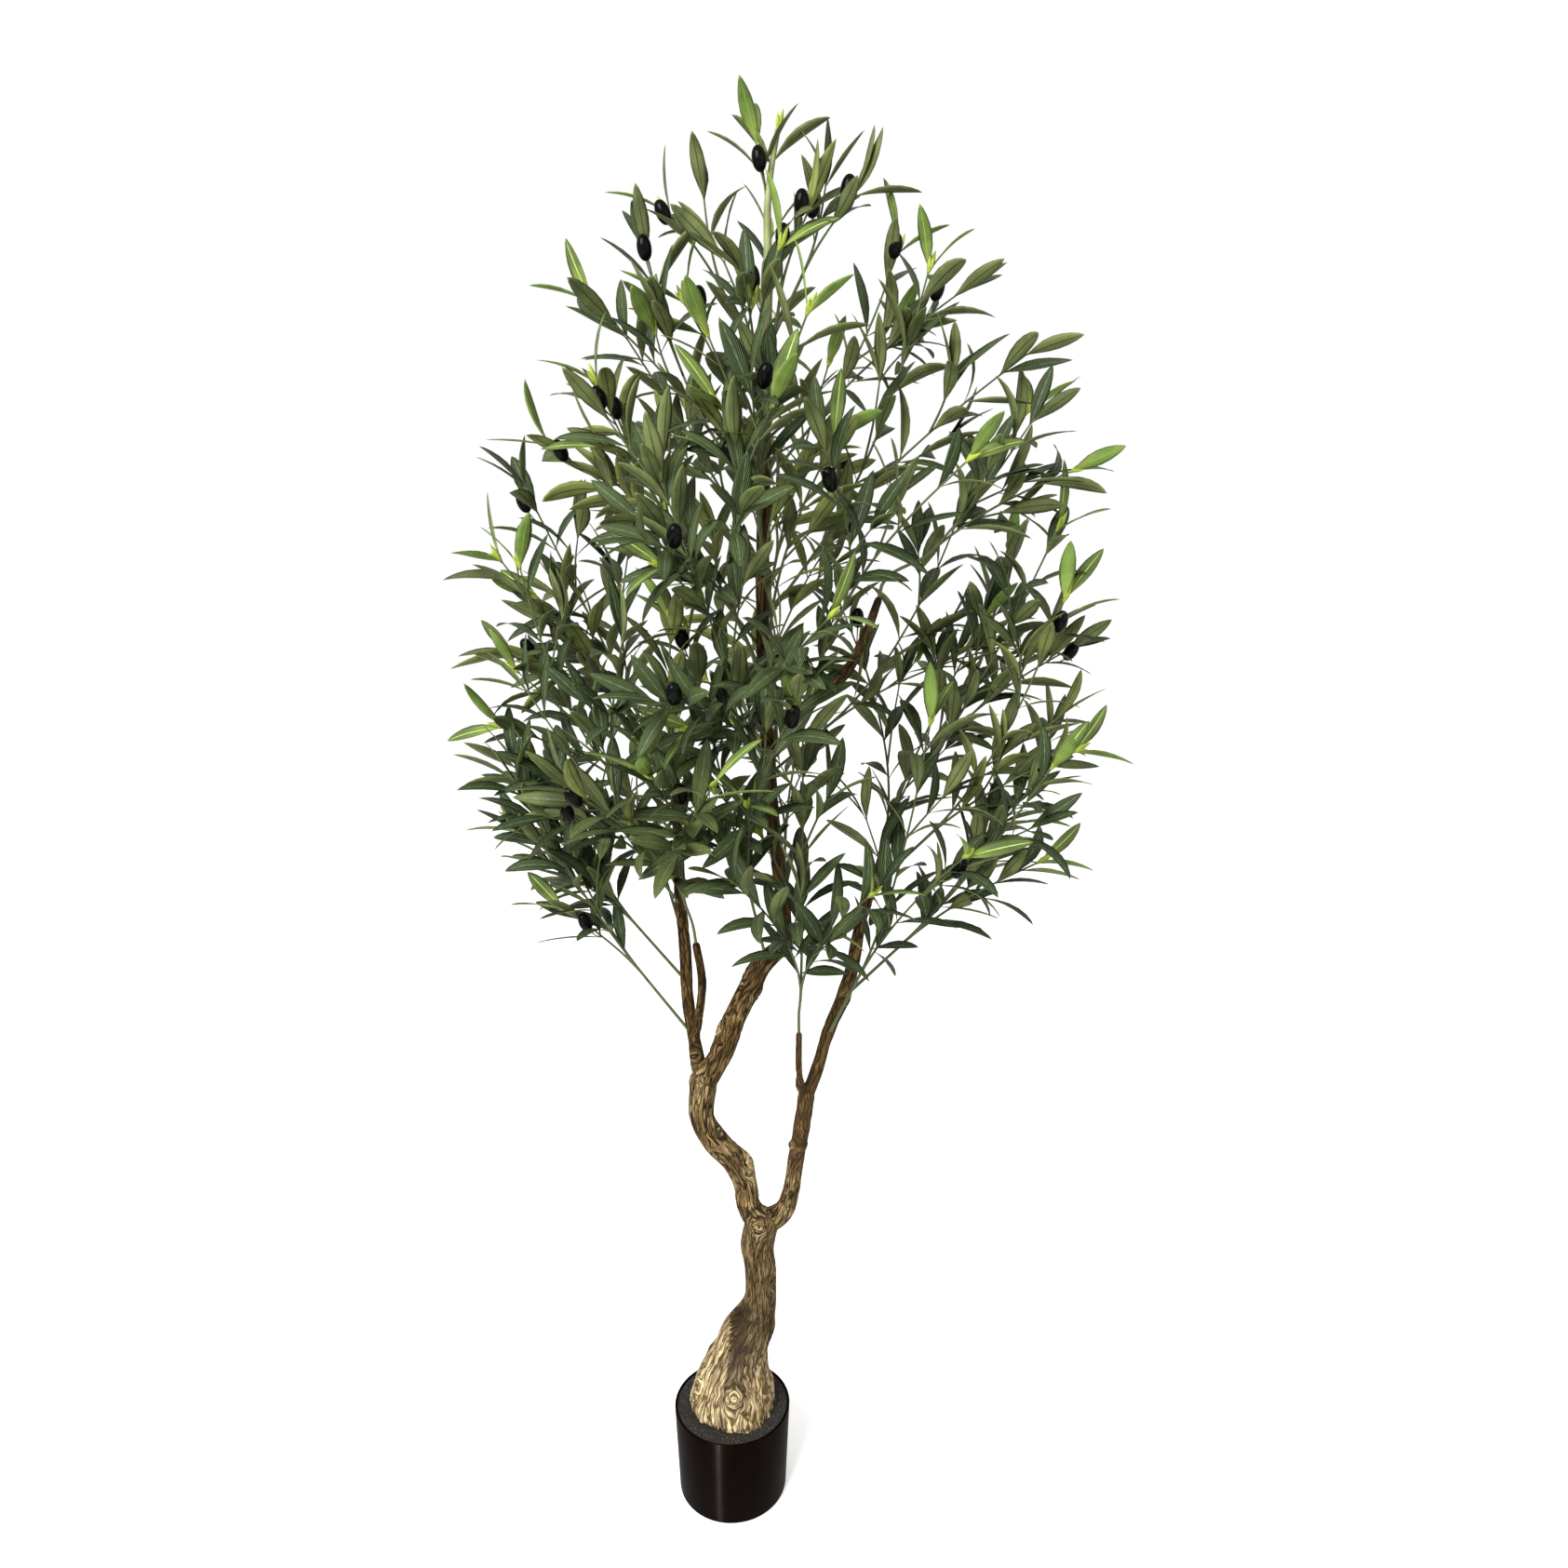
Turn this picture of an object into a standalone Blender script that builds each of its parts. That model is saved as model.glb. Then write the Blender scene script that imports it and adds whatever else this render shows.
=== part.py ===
"""Artificial olive tree, 1.85 m tall, standing in a small round black planter.

The planter is filled to its rim, and the moulded trunk stands on the fill. The trunk forks into
two limbs, the limbs carry boughs, and each bough carries sprays: a bare stem that forks into
leafy shoots. Every spray is one mass of foliage with twigs, leaves and an olive fused together.

Metres, +Z up, the origin on the floor under the middle of the planter. +X is to the right and
-Y is towards somebody who looks at the tree from the front.
"""

import math
import random

import bmesh
import bpy
import numpy as np
from mathutils import Matrix, Vector
from mathutils.bvhtree import BVHTree

# Clearance that touching pieces keep.
GAP = 0.0003

# Planter and its fill.
POT_RIM_RADIUS = 0.0825
POT_FOOT_RADIUS = 0.0768
POT_HEIGHT = 0.1326
POT_WALL = 0.0032
POT_FLOOR = 0.0045
POT_EDGE = 0.0040
POT_SIDES = 36
FOOT_ARC = (45, 90)
FILL_BELOW_RIM = 0.0016
FILL_TOP = POT_HEIGHT - FILL_BELOW_RIM

# Trunk, limbs and boughs: each is a smooth route through its own bends, as (x, y, z, radius).
# A route starts on the centreline of the piece that carries it.
GROUND = FILL_TOP + GAP
FORK = (0.043, 0.000, 0.416)
LEFT_FORK = (-0.035, 0.000, 0.628)
RIGHT_FORK = (0.105, -0.010, 0.612)
BEND = (0.076, -0.004, 0.826)
SIDE_FORK = (0.112, -0.024, 1.150)
ROUTES = {
    "trunk": (
        (0.000, 0.000, GROUND, 0.062),
        (0.002, 0.000, 0.150, 0.060),
        (0.006, 0.000, 0.190, 0.048),
        (0.014, 0.000, 0.226, 0.040),
        (0.030, 0.000, 0.262, 0.0325),
        (0.041, 0.000, 0.300, 0.0225),
        (0.040, 0.000, 0.345, 0.0222),
        (0.038, 0.000, 0.385, 0.0232),
        (*FORK, 0.024),
    ),
    "left_limb": (
        (*FORK, 0.019),
        (0.026, -0.004, 0.444, 0.0170),
        (0.021, -0.006, 0.478, 0.0162),
        (0.007, -0.006, 0.514, 0.0172),
        (-0.023, -0.004, 0.549, 0.0180),
        (-0.038, 0.000, 0.580, 0.0170),
        (*LEFT_FORK, 0.0185),
    ),
    "right_limb": (
        (*FORK, 0.018),
        (0.072, -0.006, 0.437, 0.0150),
        (0.084, -0.010, 0.470, 0.0120),
        (0.091, -0.010, 0.521, 0.0115),
        (0.099, -0.010, 0.570, 0.0118),
        (*RIGHT_FORK, 0.0120),
    ),
    "left_bough": (
        (*LEFT_FORK, 0.0100),
        (-0.046, 0.004, 0.684, 0.0086),
        (-0.055, 0.012, 0.742, 0.0084),
        (-0.059, 0.028, 0.806, 0.0084),
        (-0.066, 0.044, 0.880, 0.0080),
        (-0.068, 0.056, 0.962, 0.0072),
        (-0.074, 0.070, 1.086, 0.0056),
    ),
    "bent_bough": (
        (*LEFT_FORK, 0.0170),
        (-0.016, -0.006, 0.660, 0.0162),
        (0.000, -0.012, 0.698, 0.0158),
        (0.012, -0.016, 0.734, 0.0150),
        (0.032, -0.018, 0.774, 0.0142),
        (0.045, -0.014, 0.800, 0.0142),
        (*BEND, 0.0110),
    ),
    "right_bough": (
        (*RIGHT_FORK, 0.0100),
        (0.120, -0.002, 0.650, 0.0086),
        (0.135, 0.006, 0.700, 0.0090),
        (0.153, 0.014, 0.742, 0.0098),
        (0.167, 0.022, 0.786, 0.0092),
        (0.178, 0.030, 0.846, 0.0080),
        (0.202, 0.040, 0.918, 0.0068),
        (0.224, 0.048, 1.000, 0.0056),
    ),
    "left_spur": (
        (-0.046, 0.004, 0.684, 0.0064),
        (-0.038, -0.016, 0.730, 0.0062),
        (-0.032, -0.030, 0.782, 0.0060),
        (-0.038, -0.040, 0.836, 0.0052),
    ),
    "right_spur": (
        (*RIGHT_FORK, 0.0056),
        (0.095, -0.024, 0.646, 0.0048),
        (0.094, -0.036, 0.712, 0.0044),
    ),
    "leader": (
        (*BEND, 0.0110),
        (0.072, 0.006, 0.888, 0.0098),
        (0.060, 0.010, 0.990, 0.0096),
        (0.051, 0.006, 1.130, 0.0092),
        (0.048, 0.000, 1.260, 0.0088),
        (0.051, 0.000, 1.480, 0.0082),
        (0.053, 0.000, 1.590, 0.0078),
        (0.055, 0.000, 1.660, 0.0070),
    ),
    "side_bough": (
        (0.054, 0.006, 1.072, 0.0078),
        (0.088, -0.014, 1.112, 0.0076),
        (*SIDE_FORK, 0.0074),
        (0.148, -0.034, 1.182, 0.0068),
        (0.171, -0.040, 1.226, 0.0060),
        (0.188, -0.040, 1.272, 0.0052),
    ),
    "side_stub": (
        (*SIDE_FORK, 0.0056),
        (0.121, -0.028, 1.196, 0.0048),
    ),
}

# Which piece carries each limb, and how far up its route the joint between them lies.
SEATS = {
    "left_limb": ("trunk", 0.042),
    "right_limb": ("trunk", 0.042),
    "left_bough": ("left_limb", 0.044),
    "bent_bough": ("left_limb", 0.044),
    "right_bough": ("right_limb", 0.030),
    "right_spur": ("right_limb", 0.030),
    "left_spur": ("left_bough", 0.034),
    "leader": ("bent_bough", 0.020),
    "side_bough": ("leader", 0.030),
    "side_stub": ("side_bough", 0.022),
}
LIMB_SIDES = {"trunk": 14, "left_limb": 10, "right_limb": 10, "bent_bough": 10}
BOUGH_SIDES = 8
LIMB_STEP = 0.024
BOUGH_STEP = 0.050

# A route's curve is worked out at a few points to each step, and its heading over a short reach.
CURVE_POINTS = 4
HEADING_REACH = 0.004

# The crown's skin: a rounded shape about its middle, wider than it is deep, with a narrow top.
CROWN_MIDDLE = (0.074, 0.000, 1.200)
CROWN_HALF_WIDTH = 0.430
CROWN_HALF_DEPTH = 0.350
CROWN_ABOVE = 0.652
CROWN_BELOW = 0.470
CROWN_TOP_PINCH = 0.76
CROWN_FOOT_PINCH = 0.27
SKIN_STEP = 0.005

# Sprays: name, the limb that carries it, how far along that limb, the way it leans (azimuth
# from +X towards +Y, and rise, in degrees), its shoots, the angle that they fan out by, the
# turn of the fan, and the share of the way to the crown's skin that they run.
SPRAYS = (
    ("spray_low_left", "left_bough", 0.14, 186, 54, 3, 13, 90, 0.88),
    ("spray_left_side", "left_bough", 0.30, 174, 49, 3, 17, 90, 0.86),
    ("spray_back_left_low", "left_bough", 0.42, 118, 48, 3, 24, 90, 0.95),
    ("spray_front_left_low", "left_bough", 0.52, 232, 50, 3, 24, 90, 0.80),
    ("spray_left_mid", "left_bough", 0.72, 196, 46, 2, 19, 90, 0.86),
    ("spray_back_left_mid", "left_bough", 0.84, 150, 60, 3, 22, 90, 1.00),
    ("spray_left_far", "left_bough", 1.00, 174, 40, 3, 20, 90, 1.00),
    ("spray_front_left", "left_spur", 1.00, 256, 60, 3, 24, 30, 0.85),
    ("spray_front_low", "bent_bough", 0.86, 250, 62, 3, 20, 60, 0.75),
    ("spray_front_centre", "right_spur", 1.00, 272, 62, 3, 22, 30, 0.72),
    ("spray_right_inner", "right_bough", 0.20, 318, 62, 2, 18, 60, 0.80),
    ("spray_right_low", "right_bough", 0.34, 352, 46, 3, 14, 90, 0.98),
    ("spray_back_right_low", "right_bough", 0.46, 50, 66, 3, 24, 90, 1.00),
    ("spray_right_side", "right_bough", 0.72, 346, 46, 2, 15, 90, 0.96),
    ("spray_right_far", "right_bough", 1.00, 4, 55, 3, 19, 90, 1.00),
    ("spray_back_low", "leader", 0.05, 88, 48, 3, 26, 60, 0.90),
    ("spray_side_tip", "side_bough", 1.00, 2, 43, 3, 16, 90, 1.00),
    ("spray_side_front", "side_stub", 1.00, 296, 52, 2, 24, 0, 0.80),
    ("spray_front_belly", "leader", 0.22, 256, 46, 3, 28, 60, 0.85),
    ("spray_back_belly", "leader", 0.27, 95, 46, 3, 28, 90, 0.92),
    ("spray_right_belly", "leader", 0.27, 20, 36, 2, 18, 90, 0.85),
    ("spray_front_middle", "leader", 0.42, 246, 46, 3, 26, 90, 0.90),
    ("spray_left_upper", "leader", 0.46, 182, 52, 3, 14, 90, 0.84),
    ("spray_right_upper", "leader", 0.50, 350, 53, 2, 13, 90, 0.98),
    ("spray_back_middle", "leader", 0.50, 76, 50, 3, 22, 60, 0.88),
    ("spray_front_upper", "leader", 0.56, 268, 56, 3, 18, 90, 0.80),
    ("spray_back_upper", "leader", 0.58, 130, 50, 3, 26, 90, 0.92),
    ("spray_left_high", "leader", 0.66, 190, 56, 2, 12, 90, 0.92),
    ("spray_right_high", "leader", 0.70, 0, 50, 2, 12, 90, 0.88),
    ("spray_front_high", "leader", 0.74, 262, 60, 3, 18, 90, 0.70),
    ("spray_back_high", "leader", 0.77, 85, 58, 2, 22, 90, 0.86),
    ("spray_inner_low", "leader", 0.36, 280, 70, 2, 16, 0, 0.56),
    ("spray_inner_middle", "leader", 0.62, 235, 72, 2, 18, 0, 0.60),
    ("spray_inner_high", "leader", 0.81, 300, 72, 2, 14, 0, 0.62),
    ("spray_left_crown", "leader", 0.84, 190, 64, 2, 12, 90, 0.86),
    ("spray_right_crown", "leader", 0.88, 352, 63, 2, 11, 90, 0.76),
    ("spray_top", "leader", 1.00, 90, 89, 2, 8, 0, 0.96),
)

# A stem runs straight to its fork. Each shoot leaves the fork along the stem and bends out.
STEM_LENGTH = 0.075
STEM_SHARE = 0.35
STEM_TURN = 0.40
SHOOT_ROOT = 0.12
SHOOT_BEND = 0.42
SHOOT_POINTS = (0.12, 0.30, 0.50, 0.75, 1.00)
SHOOT_SHARES = (1.0, 0.92, 0.86)
SHOOT_LIFT = 0.06
SHOOT_LONGEST = 0.330
SHOOT_SHORTEST = 0.050
SKIN_LEAF_ROOM = 0.050
SKIN_STRAY = 0.016
STEM_RADIUS = 0.0034
SHOOT_RADIUS = 0.0026
TIP_RADIUS = 0.0015
TWIG_SIDES = 3
TWIG_STEP = 0.075
ROOT_RADIUS = 0.0011
NUB_RADIUS = 0.0052
NUB_END_RADIUS = 0.0045
NUB_SIDES = 5
NUB_LENGTH = 0.004

# Leaves and olives.
LEAF_LENGTH = 0.112
LEAF_WIDTH = 0.036
LEAF_THICK = 0.0026
LEAF_WIDEST = 0.48
LEAF_ARCH = 0.010
LEAF_ROLLS = (30, -30, 0, 60, -60)
LEAF_STEP = 0.050
LEAF_FIRST = 0.026
LEAF_ANGLE = 48
LEAF_ANGLE_AT_TIP = 32
LEAF_ANGLE_SPREAD = 8
LEAF_TURN_SPREAD = 12
LEAF_SCALES = (0.88, 1.04)
LEAF_DROOP = 0.15
LEAF_FACES_OUT = 0.8
LEAF_FACES_UP = 0.5
LEAF_FACES_TWIG = 0.3
TIP_LEAF_ANGLES = (14, 38, 38)
TIP_LEAF_SCALE = 0.82
TIP_LEAF_STEP = 0.007
WHORL = math.radians(120.0)
OLIVE_RADIUS = 0.0090
OLIVE_HALF_LENGTH = 0.0145
OLIVE_STALK = 0.030
OLIVE_LEAN = 0.55
OLIVE_BELOW_TIP = 0.055
STALK_RADIUS = 0.0016
STALK_ROOT_RADIUS = 0.0008
CLEAR = 0.0008

# Vertices nearer than this are one vertex. Round pieces are smooth below these angles.
WELD = 5e-6
SMOOTH_POT = math.radians(40)
SMOOTH_BARK = math.radians(50)

UP = Vector((0.0, 0.0, 1.0))


def clear_scene():
    """Remove what the scene holds."""
    for item in list(bpy.data.objects):
        bpy.data.objects.remove(item, do_unlink=True)


def material(name, colour, roughness):
    """A plain material; the colour is linear red, green and blue."""
    made = bpy.data.materials.new(name)
    made.use_nodes = True
    shader = made.node_tree.nodes["Principled BSDF"]
    shader.inputs["Base Color"].default_value = (*colour, 1.0)
    shader.inputs["Roughness"].default_value = roughness
    shader.inputs["Metallic"].default_value = 0.0
    made.diffuse_color = (*colour, 1.0)
    return made


def link(name, mesh, look, smooth_angle=None):
    """Put a mesh in the scene as one named piece."""
    piece = bpy.data.objects.new(name, mesh)
    bpy.context.scene.collection.objects.link(piece)
    mesh.materials.clear()
    mesh.materials.append(look)
    if smooth_angle is not None:
        mesh.shade_smooth()
        mesh.set_sharp_from_angle(angle=smooth_angle)
    return piece


def mesh_of(vertices, faces, name="shape"):
    """A mesh from vertices and faces, with its faces turned outwards."""
    work = bmesh.new()
    corners = [work.verts.new(v) for v in vertices]
    for face in faces:
        work.faces.new([corners[i] for i in face])
    bmesh.ops.recalc_face_normals(work, faces=work.faces)
    mesh = bpy.data.meshes.new(name)
    work.to_mesh(mesh)
    work.free()
    return mesh


class Route:
    """A smooth line through a few bends, with a radius at each point."""

    def __init__(self, bends, step):
        bends = np.array(bends, dtype=float)
        first = 2.0 * bends[0] - bends[1]
        last = 2.0 * bends[-1] - bends[-2]
        guide = np.vstack([first, bends, last])
        points = []
        for i in range(1, len(guide) - 2):
            span = np.linalg.norm(guide[i + 1, :3] - guide[i, :3])
            count = max(2, int(math.ceil(CURVE_POINTS * span / step)))
            for t in np.arange(count) / count:
                points.append(self.between(guide[i - 1:i + 3], t))
        points.append(bends[-1])
        self.points = np.array(points)
        self.step = step
        self.measure()

    def measure(self):
        """Work out how far along the route each point lies, and its sideways directions."""
        legs = np.linalg.norm(np.diff(self.points[:, :3], axis=0), axis=1)
        self.far = np.concatenate([[0.0], np.cumsum(legs)])
        self.length = float(self.far[-1])
        self.sides = self.carried_sides()

    def straighten(self):
        """Keep only the straight runs between the stations, which a slim twig's faces follow."""
        places = [self.at(distance) for distance in self.stations(0.0, self.length)]
        self.points = np.array([(*place, radius) for place, radius in places])
        self.step = None
        self.measure()
        return self

    @staticmethod
    def between(four, t):
        """Catmull-Rom curve between the middle two of four bends."""
        a, b, c, d = four
        return 0.5 * (2.0 * b + (c - a) * t + (2.0 * a - 5.0 * b + 4.0 * c - d) * t * t
                      + (3.0 * b - a - 3.0 * c + d) * t ** 3)

    def at(self, distance):
        """Place and radius at a distance along the route."""
        values = [np.interp(distance, self.far, self.points[:, k]) for k in range(4)]
        return Vector(values[:3]), float(values[3])

    def heading(self, distance):
        """The way the route runs at a distance along it."""
        ahead = self.at(min(distance + HEADING_REACH, self.length))[0]
        behind = self.at(max(distance - HEADING_REACH, 0.0))[0]
        return (ahead - behind).normalized()

    def carried_sides(self):
        """A sideways direction at each point, carried along the route without twisting."""
        side = self.heading(0.0).orthogonal().normalized()
        sides = []
        for distance in self.far:
            heading = self.heading(distance)
            side = (side - heading * side.dot(heading)).normalized()
            sides.append(side)
        return sides

    def side(self, distance):
        """The sideways direction at a distance, square to the route."""
        heading = self.heading(distance)
        near = self.sides[int(np.argmin(np.abs(self.far - distance)))]
        return (near - heading * near.dot(heading)).normalized()

    def stations(self, start, end):
        """Even distances from start to end, about one step apart, or a straightened route's own."""
        if self.step is None:
            return [float(distance) for distance in self.far]
        count = max(2, int(round((end - start) / self.step)))
        return [start + (end - start) * i / count for i in range(count + 1)]


def loft(places, headings, sideways, radii, sides):
    """Vertices and faces of a closed tube, with a ring square to the route at each place."""
    vertices = []
    faces = []
    for k, (place, heading, side, radius) in enumerate(zip(places, headings, sideways, radii)):
        across = heading.cross(side)
        for i in range(sides):
            angle = 2.0 * math.pi * i / sides
            vertices.append(place + radius * (math.cos(angle) * side + math.sin(angle) * across))
        if k:
            low = (k - 1) * sides
            for i in range(sides):
                j = (i + 1) % sides
                faces.append((low + i, low + j, low + sides + j, low + sides + i))
    faces.append(tuple(reversed(range(sides))))
    top = (len(places) - 1) * sides
    faces.append(tuple(top + i for i in range(sides)))
    return vertices, faces


def tube(route, start, end, sides, first_heading=None):
    """The stretch of a route between two distances, its first face square to a given heading."""
    spots = route.stations(start, end)
    places = [route.at(s)[0] for s in spots]
    radii = [route.at(s)[1] for s in spots]
    headings = [route.heading(s) for s in spots]
    if first_heading is not None:
        headings[0] = first_heading
    sideways = []
    for s, heading in zip(spots, headings):
        side = route.side(s)
        sideways.append((side - heading * side.dot(heading)).normalized())
    return loft(places, headings, sideways, radii, sides)


def peg(start, end, start_radius, end_radius, sides):
    """A straight tapering peg between two points."""
    along = (end - start).normalized()
    side = along.orthogonal().normalized()
    return loft((start, end), (along, along), (side, side), (start_radius, end_radius), sides)


def fuse(name, shapes, look, smooth_angle=None):
    """One solid from several overlapping closed shapes: the first is joined by the others."""
    piece = link(name, mesh_of(*shapes[0]), look)
    others = bpy.data.collections.new(name + "_joined")
    bpy.context.scene.collection.children.link(others)
    for shape in shapes[1:]:
        others.objects.link(bpy.data.objects.new(name + "_add", mesh_of(*shape)))
    union = piece.modifiers.new("Union", "BOOLEAN")
    union.operation = "UNION"
    union.operand_type = "COLLECTION"
    union.collection = others
    for solver in ("EXACT", "MANIFOLD"):
        union.solver = solver
        graph = bpy.context.evaluated_depsgraph_get()
        made = bpy.data.meshes.new_from_object(piece.evaluated_get(graph))
        if keep_largest(made):
            break
    piece.modifiers.clear()
    piece.data = made
    for extra in list(others.objects):
        bpy.data.objects.remove(extra, do_unlink=True)
    bpy.data.collections.remove(others)
    if smooth_angle is not None:
        made.shade_smooth()
        made.set_sharp_from_angle(angle=smooth_angle)
    return piece


def keep_largest(mesh):
    """Keep the body with the most faces, and tell whether it is closed."""
    work = bmesh.new()
    work.from_mesh(mesh)
    bmesh.ops.remove_doubles(work, verts=work.verts, dist=WELD)
    waiting = set(work.faces)
    bodies = []
    while waiting:
        stack = [waiting.pop()]
        body = list(stack)
        while stack:
            for edge in stack.pop().edges:
                for face in edge.link_faces:
                    if face in waiting:
                        waiting.discard(face)
                        body.append(face)
                        stack.append(face)
        bodies.append(body)
    bodies.sort(key=len)
    scraps = [face for body in bodies[:-1] for face in body]
    bmesh.ops.delete(work, geom=scraps, context="FACES")
    closed = all(edge.is_manifold for edge in work.edges)
    work.to_mesh(mesh)
    work.free()
    return closed


def turned(profile, sides):
    """A mesh turned about the Z axis from a profile of (radius, height) that starts and ends on it."""
    work = bmesh.new()
    corners = [work.verts.new((r, 0.0, z)) for r, z in profile]
    edges = [work.edges.new(pair) for pair in zip(corners, corners[1:])]
    bmesh.ops.spin(work, geom=corners + edges, cent=(0, 0, 0), axis=(0, 0, 1),
                   angle=2.0 * math.pi, steps=sides, use_merge=True)
    bmesh.ops.remove_doubles(work, verts=work.verts, dist=1e-5)
    bmesh.ops.recalc_face_normals(work, faces=work.faces)
    mesh = bpy.data.meshes.new("turned")
    work.to_mesh(mesh)
    work.free()
    return mesh


def make_pot(look):
    """The planter: a slightly tapering cup with a thin wall, a rounded foot and a rounded rim."""
    slope = (POT_RIM_RADIUS - POT_FOOT_RADIUS) / POT_HEIGHT
    inner_floor = POT_FOOT_RADIUS + slope * POT_FLOOR - POT_WALL
    inner_rim = POT_RIM_RADIUS - POT_WALL
    profile = [(0.0, 0.0), (POT_FOOT_RADIUS - POT_EDGE, 0.0)]
    for degrees in FOOT_ARC:
        angle = math.radians(degrees)
        profile.append((POT_FOOT_RADIUS - POT_EDGE + POT_EDGE * math.sin(angle),
                        POT_EDGE - POT_EDGE * math.cos(angle)))
    lip = 0.5 * POT_WALL
    profile.append((POT_RIM_RADIUS, POT_HEIGHT - lip))
    profile.append((POT_RIM_RADIUS - lip, POT_HEIGHT))
    profile.append((inner_rim, POT_HEIGHT - lip))
    profile.append((inner_floor, POT_FLOOR))
    profile.append((0.0, POT_FLOOR))
    return link("pot", turned(profile, POT_SIDES), look, SMOOTH_POT)


def make_fill(look):
    """The fill: a plug that stands on the planter's floor, just inside its wall."""
    slope = (POT_RIM_RADIUS - POT_FOOT_RADIUS) / POT_HEIGHT
    floor = POT_FLOOR + GAP
    low = POT_FOOT_RADIUS + slope * floor - POT_WALL - 2.0 * GAP
    high = POT_FOOT_RADIUS + slope * FILL_TOP - POT_WALL - 2.0 * GAP
    profile = [(0.0, floor), (low, floor), (high, FILL_TOP), (0.0, FILL_TOP)]
    return link("fill", turned(profile, POT_SIDES), look, SMOOTH_POT)


def in_crown(point, room=0.0):
    """Whether a point lies inside the crown's skin, with some room to spare."""
    x, y, z = (point[k] - CROWN_MIDDLE[k] for k in range(3))
    tall = (CROWN_ABOVE if z > 0.0 else CROWN_BELOW) - room
    rise = (z / tall) ** 2
    if rise >= 1.0:
        return False
    wide = (1.0 - rise) ** (CROWN_TOP_PINCH if z > 0.0 else CROWN_FOOT_PINCH)
    return (x / (CROWN_HALF_WIDTH - room)) ** 2 + (y / (CROWN_HALF_DEPTH - room)) ** 2 < wide ** 2


def way_to_skin(start, direction):
    """How far a shoot can run before its last leaves reach the crown's skin."""
    distance = 0.0
    entered = False
    while distance < 1.0:
        inside = in_crown(start + direction * distance, SKIN_LEAF_ROOM)
        if entered and not inside:
            break
        entered = entered or inside
        distance += SKIN_STEP
    return distance if entered else 0.0


class Spray:
    """One spray of foliage: its stem, its shoots, its leaves and its olive."""

    def __init__(self, row, routes):
        self.name, self.limb, along, azimuth, rise, self.count, fan, turn, self.share = row
        self.rng = random.Random(self.name)
        azimuth, rise = math.radians(azimuth), math.radians(rise)
        self.axis = Vector((math.cos(azimuth) * math.cos(rise),
                            math.sin(azimuth) * math.cos(rise), math.sin(rise)))
        self.fan = math.radians(fan)
        self.turn = math.radians(turn)
        route = routes[self.limb]
        self.at_tip = along >= 1.0
        self.foot, radius = route.at(along * route.length)
        heading = route.heading(along * route.length)
        if self.at_tip:
            self.seat = self.foot + heading * GAP
            self.start = heading
        else:
            slant = heading.cross(self.axis).length
            self.start = self.axis
            self.nub_end = (radius + NUB_END_RADIUS) / slant + NUB_LENGTH
            self.seat = self.foot + self.axis * (self.nub_end + GAP)
        self.stem = min(STEM_LENGTH, STEM_SHARE * way_to_skin(self.seat, self.axis))
        self.shoots = [self.shoot(k) for k in range(self.count)]

    def nub(self):
        """The short peg on the limb that the stem stands on."""
        end = self.foot + self.axis * self.nub_end
        return peg(self.foot, end, NUB_RADIUS, NUB_END_RADIUS, NUB_SIDES)

    def shoot(self, k):
        """Points along one shoot. The first runs on from the stem, the others leave it."""
        stem = self.stem
        fork = self.seat + self.axis * stem
        side = self.axis.cross(UP).normalized()
        lean = Matrix.Rotation(self.turn + 2.0 * math.pi * k / self.count, 3, self.axis) @ side
        outward = (self.axis * math.cos(self.fan) + lean * math.sin(self.fan)).normalized()
        length = way_to_skin(fork, outward) * self.share * SHOOT_SHARES[k]
        length = max(SHOOT_SHORTEST, min(SHOOT_LONGEST, length))
        tip = fork + outward * length + UP * (SHOOT_LIFT * length)
        bend = fork + self.axis * (SHOOT_BEND * length)
        if k == 0:
            points = [self.seat, self.seat + self.start * (STEM_TURN * stem), fork]
        else:
            points = [fork - self.axis * (SHOOT_ROOT * stem * k)]
        for t in SHOOT_POINTS:
            points.append((1 - t) ** 2 * fork + 2 * t * (1 - t) * bend + t * t * tip)
        bends = []
        for i, p in enumerate(points):
            share = i / (len(points) - 1)
            thick = STEM_RADIUS if k == 0 else SHOOT_RADIUS
            radius = thick + (TIP_RADIUS - thick) * share
            bends.append((*p, ROOT_RADIUS if k and i == 0 else radius))
        return Route(bends, TWIG_STEP).straighten()

    def twigs(self):
        """The stem and shoots as closed tubes."""
        tubes = []
        for k, shoot in enumerate(self.shoots):
            heading = self.start if k == 0 else None
            tubes.append(tube(shoot, 0.0, shoot.length, TWIG_SIDES, heading))
        return tubes

    def leaf_places(self):
        """Root, direction and size of each leaf that the rule would like, from the tips back."""
        for shoot in self.shoots:
            for i, angle in enumerate(TIP_LEAF_ANGLES):
                distance = shoot.length - TIP_LEAF_STEP * (i + 0.5)
                yield shoot, distance, WHORL * (i + 0.5), math.radians(angle), TIP_LEAF_SCALE
        for k, shoot in enumerate(self.shoots):
            bare = LEAF_FIRST + (self.stem if k == 0 else 0.0)
            turn = WHORL * (self.rng.randrange(3) + 0.5)
            run = shoot.length - bare - TIP_LEAF_STEP * len(TIP_LEAF_ANGLES)
            count = max(1, int(run / LEAF_STEP))
            for i in range(count):
                share = (i + 0.5) / count
                turn += WHORL
                angle = LEAF_ANGLE + (LEAF_ANGLE_AT_TIP - LEAF_ANGLE) * share
                angle += self.rng.uniform(-LEAF_ANGLE_SPREAD, LEAF_ANGLE_SPREAD)
                loose = math.radians(self.rng.uniform(-LEAF_TURN_SPREAD, LEAF_TURN_SPREAD))
                scale = self.rng.uniform(*LEAF_SCALES)
                yield shoot, bare + run * share, turn + loose, math.radians(angle), scale


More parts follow.
